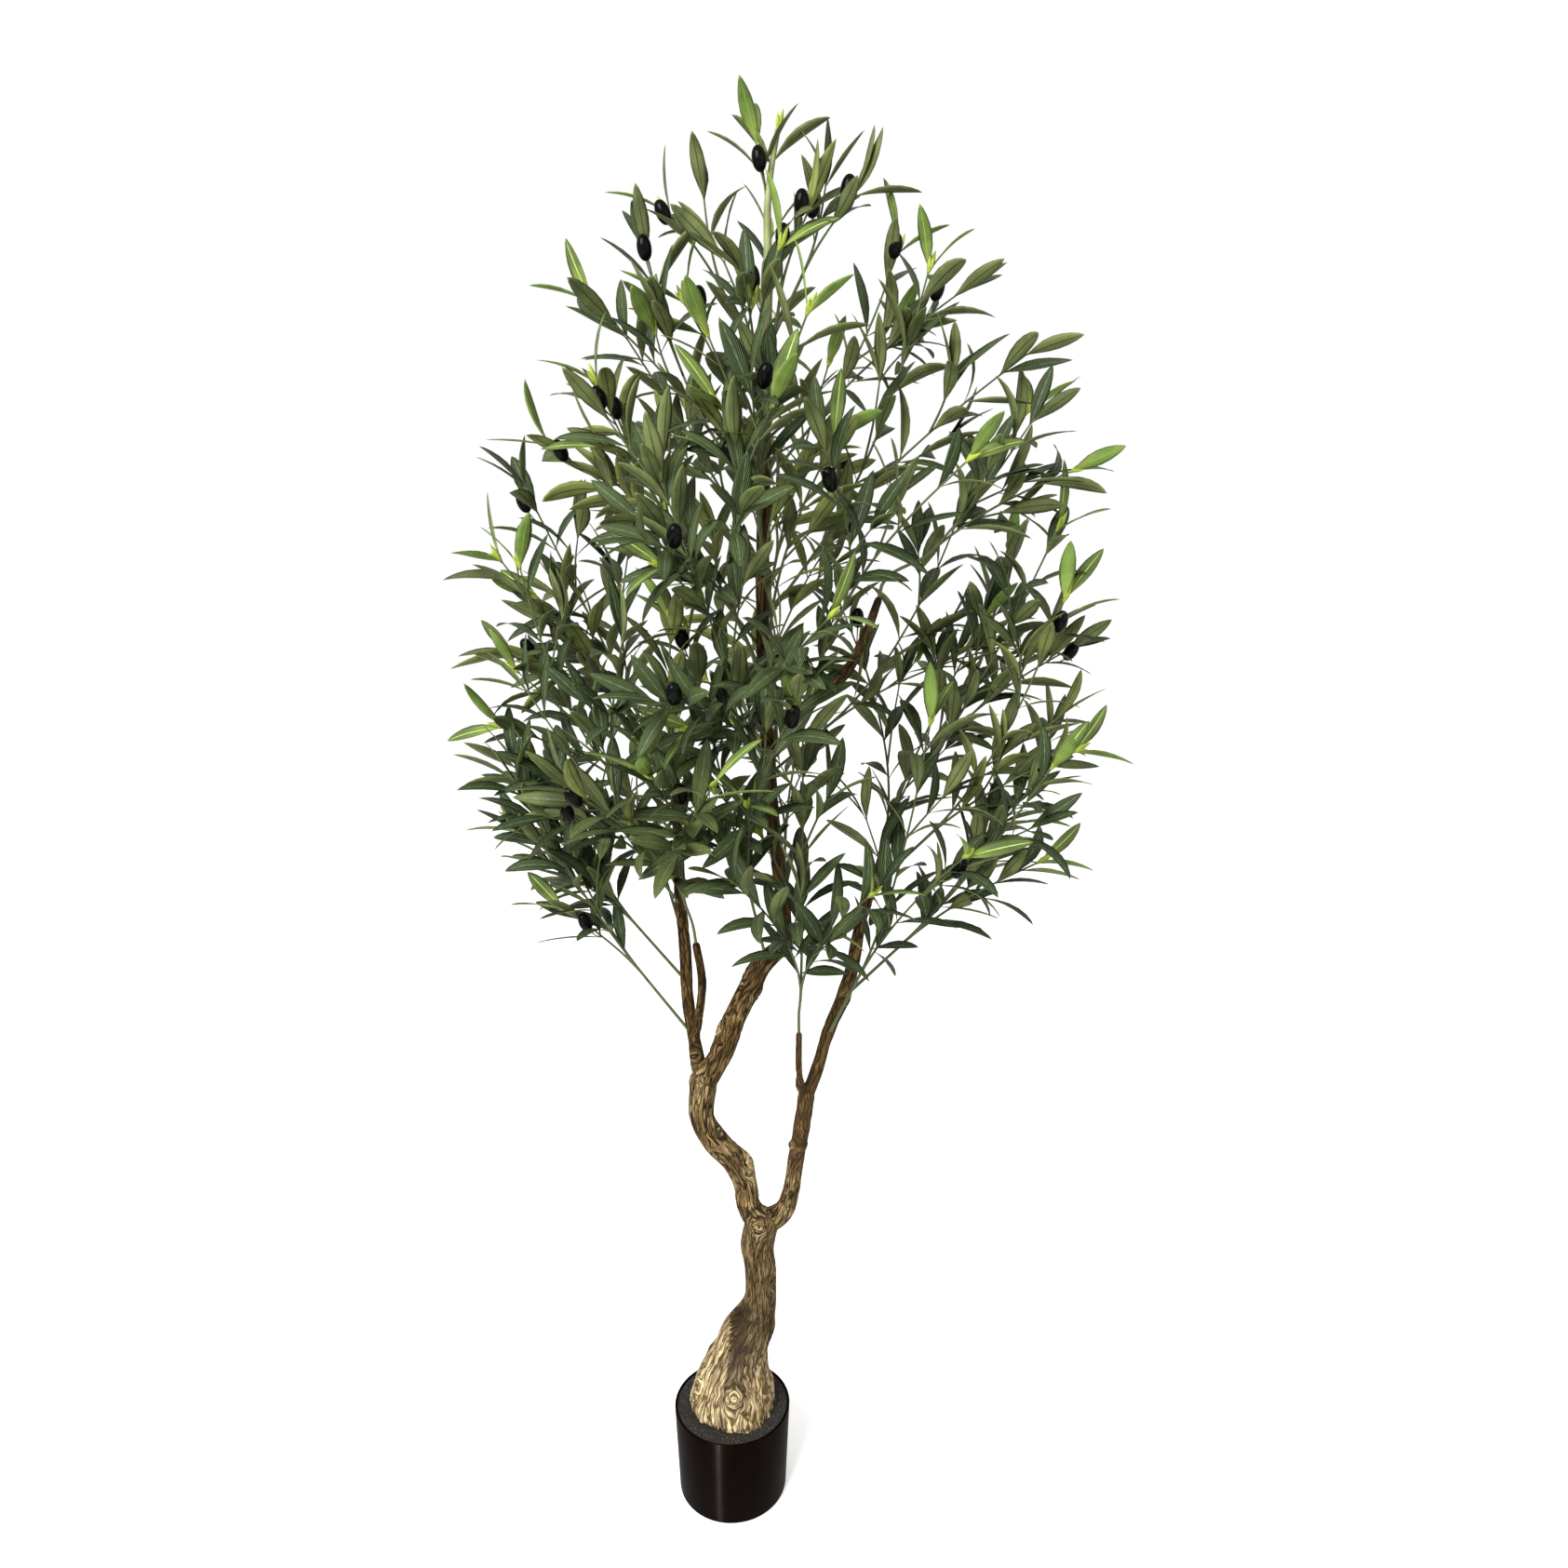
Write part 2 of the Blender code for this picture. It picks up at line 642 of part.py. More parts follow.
def leaf_shape(root, out, normal, length):
    """A leaf: an arched blade, flat below and ridged above, with its root at the given point."""
    across = out.cross(normal).normalized()
    normal = across.cross(out).normalized()
    middle = root + out * (LEAF_WIDEST * length) + normal * LEAF_ARCH
    half = 0.5 * LEAF_WIDTH * length / LEAF_LENGTH
    vertices = [root, middle + across * half, root + out * length, middle - across * half,
                middle + normal * LEAF_THICK]
    faces = [(0, 1, 4), (1, 2, 4), (2, 3, 4), (3, 0, 4), (0, 3, 1), (2, 1, 3)]
    return vertices, faces


def place_leaf(shoot, distance, turn, angle, scale, roll):
    """Work out one leaf of a shoot: it leans out from the shoot and hangs a little."""
    place, _ = shoot.at(distance)
    heading = shoot.heading(distance)
    side = Matrix.Rotation(turn, 3, heading) @ shoot.side(distance)
    out = heading * math.cos(angle) + side * math.sin(angle)
    out = (out - UP * (LEAF_DROOP * math.sin(angle))).normalized()
    away = Vector((place.x - CROWN_MIDDLE[0], place.y - CROWN_MIDDLE[1], 0.0)).normalized()
    normal = away * LEAF_FACES_OUT + UP * LEAF_FACES_UP + side * LEAF_FACES_TWIG
    normal = (normal - out * normal.dot(out)).normalized()
    normal = Matrix.Rotation(roll, 3, out) @ normal
    return leaf_shape(place, out, normal, LEAF_LENGTH * scale)


def olive_shapes(shoot, rng):
    """An olive and the stalk that it hangs by."""
    place, _ = shoot.at(shoot.length - OLIVE_BELOW_TIP)
    heading = shoot.heading(shoot.length - OLIVE_BELOW_TIP)
    turn = WHORL * (rng.randrange(3) + 0.5)
    side = Matrix.Rotation(turn, 3, heading) @ shoot.side(shoot.length - OLIVE_BELOW_TIP)
    out = (side + heading * OLIVE_LEAN).normalized()
    end = place + out * OLIVE_STALK
    stalk = peg(place, end, STALK_ROOT_RADIUS, STALK_RADIUS, TWIG_SIDES)
    centre = end + out * (0.5 * OLIVE_HALF_LENGTH)
    work = bmesh.new()
    bmesh.ops.create_icosphere(work, subdivisions=1, radius=1.0)
    turn = out.to_track_quat("Z", "Y").to_matrix()
    size = Matrix.Diagonal((OLIVE_RADIUS, OLIVE_RADIUS, OLIVE_HALF_LENGTH))
    vertices = [centre + turn @ size @ v.co for v in work.verts]
    faces = [tuple(v.index for v in face.verts) for face in work.faces]
    work.free()
    return [(vertices, faces), stalk]


def grown(shape, margin):
    """A shape with its corners pushed out from its middle by a margin."""
    vertices, faces = shape
    middle = sum(vertices, Vector()) / len(vertices)
    return [v + (v - middle).normalized() * margin for v in vertices], faces


def tree_of(shapes):
    """A search tree over the faces of some shapes."""
    vertices = []
    faces = []
    for points, polygons in shapes:
        base = len(vertices)
        vertices.extend(points)
        faces.extend(tuple(base + i for i in polygon) for polygon in polygons)
    return BVHTree.FromPolygons(vertices, faces)


def touches(shape, tree):
    """Whether a shape, with a little room round it, meets anything in the tree."""
    return bool(tree.overlap(tree_of([grown(shape, CLEAR)])))


def is_clear(leaf, tree, own):
    """Whether a leaf stays inside the skin, and clear of the other pieces and its own spray's."""
    if not in_crown(leaf[0][2], -SKIN_STRAY) or touches(leaf, tree):
        return False
    return not own or not touches(leaf, tree_of(own))


def make_limbs(routes, sprays, look):
    """Trunk, limbs and boughs. Each carries the first stretch of what grows from it."""
    shapes = {}
    for name, route in routes.items():
        sides = LIMB_SIDES.get(name, BOUGH_SIDES)
        if name in SEATS:
            shapes[name] = [tube(route, SEATS[name][1] + GAP, route.length, sides)]
        else:
            shapes[name] = [tube(route, 0.0, route.length, sides, UP)]
    for name, (parent, seat) in SEATS.items():
        sides = LIMB_SIDES.get(name, BOUGH_SIDES)
        shapes[parent].append(tube(routes[name], 0.0, seat, sides))
    for spray in sprays:
        if not spray.at_tip:
            shapes[spray.limb].append(spray.nub())
    for name, parts in shapes.items():
        fuse(name, parts, look, SMOOTH_BARK)
    return [shape for parts in shapes.values() for shape in parts]


def make_foliage(sprays, solids, look):
    """Each spray's twigs, leaves and olive, fused, keeping clear of every other piece."""
    twigs = {spray.name: spray.twigs() for spray in sprays}
    leaves = {spray.name: [] for spray in sprays}
    for spray in sprays:
        others = list(solids)
        for name in twigs:
            if name != spray.name:
                others += twigs[name] + leaves[name]
        tree = tree_of(others)
        own = leaves[spray.name]
        olive = olive_shapes(spray.shoots[0], spray.rng)
        if not any(touches(part, tree) for part in olive):
            own += olive
        for i, where in enumerate(spray.leaf_places()):
            for roll in LEAF_ROLLS:
                leaf = place_leaf(*where, math.radians(roll) * (-1) ** i)
                if is_clear(leaf, tree, own):
                    own.append(leaf)
                    break
    for spray in sprays:
        fuse(spray.name, twigs[spray.name] + leaves[spray.name], look)


def main():
    """Build the tree."""
    clear_scene()
    plastic = material("black_plastic", (0.012, 0.009, 0.009), 0.25)
    foam = material("charcoal_fill", (0.030, 0.032, 0.036), 0.9)
    bark = material("moulded_bark", (0.36, 0.27, 0.15), 0.8)
    leafage = material("olive_leaves", (0.05, 0.11, 0.05), 0.5)
    make_pot(plastic)
    make_fill(foam)
    routes = {}
    for name, bends in ROUTES.items():
        step = LIMB_STEP if name in LIMB_SIDES else BOUGH_STEP
        routes[name] = Route(bends, step)
    sprays = [Spray(row, routes) for row in SPRAYS]
    solids = make_limbs(routes, sprays, bark)
    make_foliage(sprays, solids, leafage)


main()
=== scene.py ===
"""Dresses the artificial potted olive tree, and lays out the studio that it stands in.

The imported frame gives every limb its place. This script moulds a planter, a foam fill and a
trunk with barky relief over that frame, and grows finer sprays by the frame's own rule: green
stems, pressed cloth leaves, young lime tips with buds, and olives on stalks.

Metres, +Z up, the origin on the floor under the middle of the planter. +X is to the right and
-Y is towards somebody who looks at the tree from the front.
"""

import math
import random
from collections import namedtuple

import bpy
import numpy as np
from bpy.props import FloatProperty, FloatVectorProperty, IntProperty, PointerProperty
from mathutils import Matrix, Vector, noise
from mathutils.kdtree import KDTree


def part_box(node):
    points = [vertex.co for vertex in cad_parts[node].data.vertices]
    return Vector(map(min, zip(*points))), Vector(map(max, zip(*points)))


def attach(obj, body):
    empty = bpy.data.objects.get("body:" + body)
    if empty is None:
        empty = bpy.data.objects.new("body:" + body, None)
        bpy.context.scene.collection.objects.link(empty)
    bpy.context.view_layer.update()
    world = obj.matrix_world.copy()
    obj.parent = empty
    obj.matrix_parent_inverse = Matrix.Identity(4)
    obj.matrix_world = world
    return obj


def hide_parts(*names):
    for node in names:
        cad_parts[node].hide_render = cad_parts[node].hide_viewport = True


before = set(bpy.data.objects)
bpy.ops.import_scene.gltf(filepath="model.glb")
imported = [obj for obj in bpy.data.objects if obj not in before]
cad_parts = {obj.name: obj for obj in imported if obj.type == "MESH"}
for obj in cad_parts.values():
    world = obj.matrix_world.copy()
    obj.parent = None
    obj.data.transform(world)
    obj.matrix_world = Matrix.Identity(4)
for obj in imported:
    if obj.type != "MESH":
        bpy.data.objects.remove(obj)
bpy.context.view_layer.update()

bl_info = {
    "name": "Potted Olive Tree",
    "version": (1, 0, 0),
    "blender": (4, 5, 0),
    "location": "3D View > Sidebar > Olive Tree",
    "description": "Dresses the frame of an artificial potted olive tree",
    "category": "Object",
}

MM = 0.001
UP = Vector((0.0, 0.0, 1.0))

POT_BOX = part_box("pot")
FILL_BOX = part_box("fill")
POT_RIM_RADIUS = round(POT_BOX[1].x, 4)
POT_HEIGHT = round(POT_BOX[1].z, 4)
FILL_TOP = round(FILL_BOX[1].z, 4)

# Limbs and boughs, as in the frame's source: a smooth route through (x, y, z, radius).
GROUND = FILL_TOP + 0.0003
FORK = (0.043, 0.000, 0.416)
LEFT_FORK = (-0.035, 0.000, 0.628)
RIGHT_FORK = (0.105, -0.010, 0.612)
BEND = (0.076, -0.004, 0.826)
SIDE_FORK = (0.112, -0.024, 1.150)
ROUTES = {
    "trunk": (
        (0.000, 0.000, GROUND, 0.062),
        (0.002, 0.000, 0.150, 0.060),
        (0.006, 0.000, 0.190, 0.048),
        (0.014, 0.000, 0.226, 0.040),
        (0.030, 0.000, 0.262, 0.0325),
        (0.041, 0.000, 0.300, 0.0225),
        (0.040, 0.000, 0.345, 0.0222),
        (0.038, 0.000, 0.385, 0.0232),
        (*FORK, 0.024),
    ),
    "left_limb": (
        (*FORK, 0.019),
        (0.026, -0.004, 0.444, 0.0170),
        (0.021, -0.006, 0.478, 0.0162),
        (0.007, -0.006, 0.514, 0.0172),
        (-0.023, -0.004, 0.549, 0.0180),
        (-0.038, 0.000, 0.580, 0.0170),
        (*LEFT_FORK, 0.0185),
    ),
    "right_limb": (
        (*FORK, 0.018),
        (0.072, -0.006, 0.437, 0.0150),
        (0.084, -0.010, 0.470, 0.0120),
        (0.091, -0.010, 0.521, 0.0115),
        (0.099, -0.010, 0.570, 0.0118),
        (*RIGHT_FORK, 0.0120),
    ),
    "left_bough": (
        (*LEFT_FORK, 0.0100),
        (-0.046, 0.004, 0.684, 0.0086),
        (-0.055, 0.012, 0.742, 0.0084),
        (-0.059, 0.028, 0.806, 0.0084),
        (-0.066, 0.044, 0.880, 0.0080),
        (-0.068, 0.056, 0.962, 0.0072),
        (-0.074, 0.070, 1.086, 0.0056),
    ),
    "bent_bough": (
        (*LEFT_FORK, 0.0170),
        (-0.016, -0.006, 0.660, 0.0162),
        (0.000, -0.012, 0.698, 0.0158),
        (0.012, -0.016, 0.734, 0.0150),
        (0.032, -0.018, 0.774, 0.0142),
        (0.045, -0.014, 0.800, 0.0142),
        (*BEND, 0.0110),
    ),
    "right_bough": (
        (*RIGHT_FORK, 0.0100),
        (0.120, -0.002, 0.650, 0.0086),
        (0.135, 0.006, 0.700, 0.0090),
        (0.153, 0.014, 0.742, 0.0098),
        (0.167, 0.022, 0.786, 0.0092),
        (0.178, 0.030, 0.846, 0.0080),
        (0.202, 0.040, 0.918, 0.0068),
        (0.224, 0.048, 1.000, 0.0056),
    ),
    "left_spur": (
        (-0.046, 0.004, 0.684, 0.0064),
        (-0.038, -0.016, 0.730, 0.0062),
        (-0.032, -0.030, 0.782, 0.0060),
        (-0.038, -0.040, 0.836, 0.0052),
    ),
    "right_spur": (
        (*RIGHT_FORK, 0.0056),
        (0.095, -0.024, 0.646, 0.0048),
        (0.094, -0.036, 0.712, 0.0044),
    ),
    "leader": (
        (*BEND, 0.0110),
        (0.072, 0.006, 0.888, 0.0098),
        (0.060, 0.010, 0.990, 0.0096),
        (0.051, 0.006, 1.130, 0.0092),
        (0.048, 0.000, 1.260, 0.0088),
        (0.051, 0.000, 1.480, 0.0082),
        (0.053, 0.000, 1.590, 0.0078),
        (0.055, 0.000, 1.660, 0.0070),
    ),
    "side_bough": (
        (0.054, 0.006, 1.072, 0.0078),
        (0.088, -0.014, 1.112, 0.0076),
        (*SIDE_FORK, 0.0074),
        (0.148, -0.034, 1.182, 0.0068),
        (0.171, -0.040, 1.226, 0.0060),
        (0.188, -0.040, 1.272, 0.0052),
    ),
    "side_stub": (
        (*SIDE_FORK, 0.0056),
        (0.121, -0.028, 1.196, 0.0048),
    ),
}
LOWER_LIMBS = ("trunk", "left_limb", "right_limb", "bent_bough")

# The limbs' tubes: the step along them, the width of a facet, the fewest sides, and the turns of
# the domed ends in degrees. Then the smoothing of the welded piece, how far each limb's grain is
# shifted from the last one's, and how many points are searched at a time.
LIMB_PITCH, LIMB_FACET, LEAST_SIDES = 0.004, 0.003, 20
DOME_TURNS = (25.0, 50.0, 75.0)
SMOOTHINGS = 4
GRAIN_SHIFT = 0.37
BLOCK = 4000

# Knots and swellings of the bark: (x, y, z), reach across and along, and height.
KNOTS = (
    (-0.058, -0.022, 0.160, 0.008, 0.014, 0.0050),
    (0.026, -0.006, 0.512, 0.014, 0.022, 0.0055),
    (0.040, -0.024, 0.424, 0.012, 0.011, 0.0030),
    (-0.036, -0.017, 0.640, 0.008, 0.009, 0.0040),
    (0.0905, -0.011, 0.541, 0.016, 0.004, 0.0038),
    (-0.014, -0.012, 0.712, 0.012, 0.018, 0.0032),
    (0.020, -0.022, 0.792, 0.010, 0.016, 0.0028),
    (0.040, -0.016, 0.765, 0.010, 0.013, 0.0030),
    (0.060, -0.006, 0.330, 0.012, 0.030, 0.0018),
    (0.158, 0.010, 0.742, 0.008, 0.009, 0.0028),
    (-0.012, -0.010, 0.556, 0.010, 0.016, 0.0018),
    (-0.051, -0.004, 0.642, 0.010, 0.018, 0.0026),
    (-0.046, -0.004, 0.668, 0.010, 0.020, 0.0032),
    (0.093, -0.016, 0.630, 0.008, 0.016, 0.0034),
    (-0.053, -0.020, 0.173, 0.014, 0.011, 0.0052),
)

# The bark's relief: width, length and depth of its cracks and pits, how sharp they are and how much
# painted shade darkens them, the slow swellings, and how far the grain wanders. Thin limbs have a
# shallower relief.
CRACK_WIDTH, CRACK_LENGTH, CRACK_DEPTH = 0.0085, 0.080, 0.0014
PIT_WIDTH, PIT_LENGTH, PIT_DEPTH = 0.0034, 0.0170, 0.0007
CRACK_SHARPNESS, CRACK_SHADE = 8.0, 0.7
PIT_SHARPNESS, PIT_SHADE = 2.4, 0.15
SWELLING, SWELLING_SHARE = 0.030, 0.085
WANDER, WANDER_SPAN = 0.0025, 0.028
THIN_RELIEF, RELIEF_RADIUS = 0.35, 0.026
DEEPEST, HIGHEST = -0.011, 0.006

# Knots: how much paler a lump of a given height is painted, a painted highlight on its top, how
# uneven its rings are, how much closer the lines run in it, and how many times its reach the grain is
# led round it.
KNOT_HIGHLIGHT = 70.0
KNOT_UNEVEN, KNOT_LUMP = 0.35, 0.011
RING_STRETCH = 12.0
KNOT_WAKE = 4.0

# The trunk's foot: a fold with a sharp lip, a ringed knot, a hollowed flank and chipped edges.
# The lip's ends are (x, z), and shares of its height say where the fold fades out.
FOOT_TOP = 0.315
LIP_LOW, LIP_TOP = (-0.0080, 0.200), (0.0030, 0.292)
LIP_HEIGHT, LIP_SPAN = 0.0035, 0.010
FOLD_WIDTH, FOLD_DEPTH, FOLD_EDGE = 0.042, 0.0110, 0.004
FOLD_ENDS, FOLD_FADES = (-0.15, 1.12), (0.35, 0.22)
# The SHADE values are painted shade: in the fold's hollow, the crease under the lip, the knot's ring
# groove and eye, and the grooves between chips.
FOLD_SHADE, FOLD_SOFTNESS, CREASE_SHADE, CREASE = 0.90, 0.6, 0.4, 0.006
RINGED_KNOT = (0.006, -0.054, 0.180)
RINGED_REACH, RINGED_HEIGHT, RINGED_SPAN = 0.03, 0.0034, 0.012
KNOT_RING, KNOT_GROOVE, KNOT_GROOVE_WIDTH = 0.0160, 0.0026, 0.0021
RING_SHADE, EYE_SHADE, EYE = 0.75, 0.4, 0.0026
FLANK_HEIGHT, FLANK_SPAN, FLANK_DEPTH, FLANK_SIDE = 0.232, 0.026, 0.0050, 0.02
CHIP, CHIP_HEIGHT, CHIP_TOP, CHIP_FADE = 0.0075, 0.0040, 0.142, 0.018
CHIP_GROOVE, CHIP_SHADE, CHIP_SHARPNESS, CHIP_SEED = 0.7, 0.80, 3.0, 7.3

# How pale each limb's bark is brushed, from dark brown at 0 to cream at 1, and how much paler
# the foot is up to its left and right shoulders.
PALENESS = {"trunk": 0.42, "left_limb": 0.48, "right_limb": 0.50, "bent_bough": 0.30,
            "right_bough": 0.22, "right_spur": 0.20, "left_bough": 0.16, "left_spur": 0.10}
HIDDEN_PALENESS = 0.12
FOOT_PALENESS, LEFT_SHOULDER, RIGHT_SHOULDER, SHOULDER_FADE = 0.58, 0.29, 0.235, 0.045

# The right limb turns redder and darker along its length, and its spur and bough lose it again.
RED_FROM, RED_FADE, RED_SHADE, RED_RUN = 0.095, 0.040, 0.22, 0.20

# The leader's bark turns green towards its tip, over this height.
GREEN_FROM, GREEN_FADE, GREENEST = 1.42, 0.14, 0.85

# How far the washes, the cracks' net and the fine lines are drawn out along a limb.
WASH_STRETCH, NET_STRETCH, LINE_STRETCH = 0.28, 0.11, 0.07

# The crown's skin, as in the frame's source.
CROWN_MIDDLE = (0.074, 0.000, 1.200)
CROWN_HALF_WIDTH = 0.430
CROWN_HALF_DEPTH = 0.350
CROWN_ABOVE = 0.652
CROWN_BELOW = 0.470
CROWN_TOP_PINCH = 0.76
CROWN_FOOT_PINCH = 0.27
SKIN_STEP = 0.005
SKIN_LEAF_ROOM = 0.050
SKIN_STRAY = 0.030

# Sprays, as in the frame's source: name, limb, how far along it, azimuth and rise of the stem
# in degrees, shoots, the angle that they fan out by, the turn of the fan, and the share of the
# way to the crown's skin that they run.
SPRAYS = (
    ("spray_low_left", "left_bough", 0.14, 186, 54, 3, 13, 90, 0.88),
    ("spray_left_side", "left_bough", 0.30, 174, 49, 3, 17, 90, 0.86),
    ("spray_back_left_low", "left_bough", 0.42, 118, 48, 3, 24, 90, 0.95),
    ("spray_front_left_low", "left_bough", 0.52, 232, 50, 3, 24, 90, 0.80),
    ("spray_left_mid", "left_bough", 0.72, 196, 46, 2, 19, 90, 0.86),
    ("spray_back_left_mid", "left_bough", 0.84, 150, 60, 3, 22, 90, 1.00),
    ("spray_left_far", "left_bough", 1.00, 174, 40, 3, 20, 90, 1.00),
    ("spray_front_left", "left_spur", 1.00, 256, 60, 3, 24, 30, 0.85),
    ("spray_front_low", "bent_bough", 0.86, 250, 62, 3, 20, 60, 0.75),
    ("spray_front_centre", "right_spur", 1.00, 272, 62, 3, 22, 30, 0.72),
    ("spray_right_inner", "right_bough", 0.20, 318, 62, 2, 18, 60, 0.80),
    ("spray_right_low", "right_bough", 0.34, 352, 46, 3, 14, 90, 0.98),
    ("spray_back_right_low", "right_bough", 0.46, 50, 66, 3, 24, 90, 1.00),
    ("spray_right_side", "right_bough", 0.72, 346, 46, 2, 15, 90, 0.96),
    ("spray_right_far", "right_bough", 1.00, 4, 55, 3, 19, 90, 1.00),
    ("spray_back_low", "leader", 0.05, 88, 48, 3, 26, 60, 0.90),
    ("spray_side_tip", "side_bough", 1.00, 2, 43, 3, 16, 90, 1.00),
    ("spray_side_front", "side_stub", 1.00, 296, 52, 2, 24, 0, 0.80),
    ("spray_front_belly", "leader", 0.22, 256, 46, 3, 28, 60, 0.85),
    ("spray_back_belly", "leader", 0.27, 95, 46, 3, 28, 90, 0.92),
    ("spray_right_belly", "leader", 0.27, 20, 36, 2, 18, 90, 0.85),
    ("spray_front_middle", "leader", 0.42, 246, 46, 3, 26, 90, 0.90),
    ("spray_left_upper", "leader", 0.46, 182, 52, 3, 14, 90, 0.84),
    ("spray_right_upper", "leader", 0.50, 350, 53, 2, 13, 90, 0.98),
    ("spray_back_middle", "leader", 0.50, 76, 50, 3, 22, 60, 0.88),
    ("spray_front_upper", "leader", 0.56, 268, 56, 3, 18, 90, 0.80),
    ("spray_back_upper", "leader", 0.58, 130, 50, 3, 26, 90, 0.92),
    ("spray_left_high", "leader", 0.66, 190, 56, 2, 12, 90, 0.92),
    ("spray_right_high", "leader", 0.70, 0, 50, 2, 12, 90, 0.88),
    ("spray_front_high", "leader", 0.74, 262, 60, 3, 18, 90, 0.70),
    ("spray_back_high", "leader", 0.77, 85, 58, 2, 22, 90, 0.86),
    ("spray_inner_low", "leader", 0.36, 280, 70, 2, 16, 0, 0.56),
    ("spray_inner_middle", "leader", 0.62, 235, 72, 2, 18, 0, 0.60),
    ("spray_inner_high", "leader", 0.81, 300, 72, 2, 14, 0, 0.62),
    ("spray_left_crown", "leader", 0.84, 190, 64, 2, 12, 90, 0.86),
    ("spray_right_crown", "leader", 0.88, 352, 63, 2, 11, 90, 0.76),
    ("spray_top", "leader", 1.00, 90, 89, 2, 8, 0, 0.96),
)

# How a spray's stem and shoots run, as in the frame's source.
STEM_LENGTH = 0.075
STEM_SHARE = 0.35
STEM_TURN = 0.40
SHOOT_BEND = 0.42
SHOOT_POINTS = (0.12, 0.30, 0.50, 0.75, 1.00)
SHOOT_SHARES = (1.0, 0.92, 0.86)
SHOOT_LIFT = 0.06
SHOOT_LONGEST = 0.330
SHOOT_SHORTEST = 0.050
SEAT_ROOM, SEAT_CLEAR = 0.0045, 0.004
FORK_SUNK = 0.10

# The leader's green tip, and the room in front of it that leaves keep clear.
LEADING_SPRAY = "spray_top"
LEADING_RADIUS, LEADING_TAPER = 0.0056, 0.6
LEADER_TOP = (0.056, 0.0)
LEADER_CLEAR = 0.010
LEADER_CLEAR_FROM = 1.50
LEADER_RADIUS = 0.008
TOP_LEAF_ANGLE = 24

# The finer growth that only this script carries: stems and side twigs.
STEM_RADIUS = 0.0024
SHOOT_RADIUS = 0.0020
TIP_RADIUS = 0.0011
STEM_SUNK = 0.004
STEM_SIDES = 6
STEM_PITCH = 0.012
SIDE_TWIG_SHARES = (0.30, 0.56)
SIDE_TWIG_ANGLE, SIDE_TWIG_STRAY, SIDE_TWIG_SWING = 32, 6.0, 0.5
SIDE_TWIG_LENGTH = 0.46
SIDE_TWIG_LONGEST = 0.120
SIDE_TWIG_SHORTEST = 0.050
SIDE_TWIG_RADII = (0.0016, 0.0013, 0.0009)
SIDE_TWIG_BARE = 0.018
SIDE_TWIG_RISE, SIDE_TWIG_BOW, SIDE_TWIG_LIFT, SIDE_TWIG_SEAT = 0.10, 0.06, 0.05, 0.4

# Leaves stand in pairs, each turned from the last, and in a rosette at each tip. Angles are in
# degrees from the stem, and sizes are shares of a full leaf. A leaf's face looks along its stem,
# up and sideways in the shares of LEAF_FACING. Each spray has one tint, dealt out from TINTS.
PAIR_STEP = 0.049
PAIR_FIRST, PAIR_LAST, PAIR_OFFSET = 0.030, 0.012, 0.004
PAIR_TURN, PAIR_STRAY = 80, 14
LEAF_ANGLE, LEAF_ANGLE_AT_TIP, LEAF_STRAY = 42, 30, 9
LEAF_DROOP = 0.08
LEAF_CURL = (8, 62)
LEAF_FACING = (0.9, 0.45, -0.1)
LEAF_ROLL = 38
LEAF_TWIST = 28
LEAF_SCALES = (0.76, 1.02)
LEAF_WIDTHS = (0.9, 1.1)
LEAFLESS_BELOW = 0.815
LIMB_ROOM, LIMB_TESTS = 0.004, (0.35, 0.7, 1.0)
ROSETTE_STEP = 0.003
ROSETTE_ANGLE, ROSETTE_INNER_ANGLE = (20, 34), (4, 12)
ROSETTE_CURL, ROSETTE_SCALES = (5, 30), (0.72, 0.90)
YOUNG_SHOOTS, YOUNG_TWIGS = 0.56, 0.16
TINTS = (0, 0, 1, 1, 2)
YOUNG = 3
DENSER_SPRAYS = ("spray_front_low", "spray_front_centre", "spray_front_belly", "spray_front_left",
                 "spray_low_left", "spray_left_side", "spray_right_low")
DENSER_STEP = 0.032

# A leaf's blade: rows of (share of its length, share of its half width), the places across it
# and the rise of its edges, with slots in the order upper, under, upper midrib, under midrib.
BLADE_ROWS = ((0.00, 0.08), (0.07, 0.14), (0.21, 0.54), (0.36, 0.88), (0.52, 1.00),
              (0.68, 0.90), (0.82, 0.65), (0.93, 0.33))
BLADE_COLUMNS = (-1.0, -0.55, -0.07, 0.07, 0.55, 1.0)
BLADE_CUP = 0.22
BLADE_SLOTS = 4
BEND_POWER = 1.3

# Buds have an outline of (along, radius) and two parts, each with a size and a lean.
BUD_OUTLINE = ((-0.004, 0.0014), (0.000, 0.0024), (0.005, 0.0038), (0.012, 0.0032),
               (0.018, 0.0017), (0.023, 0.0002))
BUD_PARTS = ((1.0, 0.10), (0.72, -0.34))
BUD_SIDES = 8

# Olives: how many shoots carry one, how far below the tip, and its stalk.
FIRST_OLIVE_SHARE = 0.72
OLIVE_SHARE = 0.40
OLIVE_BELOW_TIP = (0.030, 0.075)
OLIVE_ROWS, OLIVE_SIDES = 14, 18
OLIVE_BLUNTNESS = 0.9
OLIVE_MIDDLE = (0.074, 0.25)
OLIVE_TURN, OLIVE_SEAT, OLIVE_LEAN = 1.0, 0.9, 0.6
STALK, STALK_SIDES, STALK_LEAN = 0.026, 6, 0.75
STALK_BEND, STALK_RISE = 0.45, 0.5
STALK_RADII = (0.0010, 0.0008, 0.0011)

# Sprays whose stems start below these heights are joined in the low and the middle piece.
LOW_TOP = 0.96
MIDDLE_TOP = 1.27

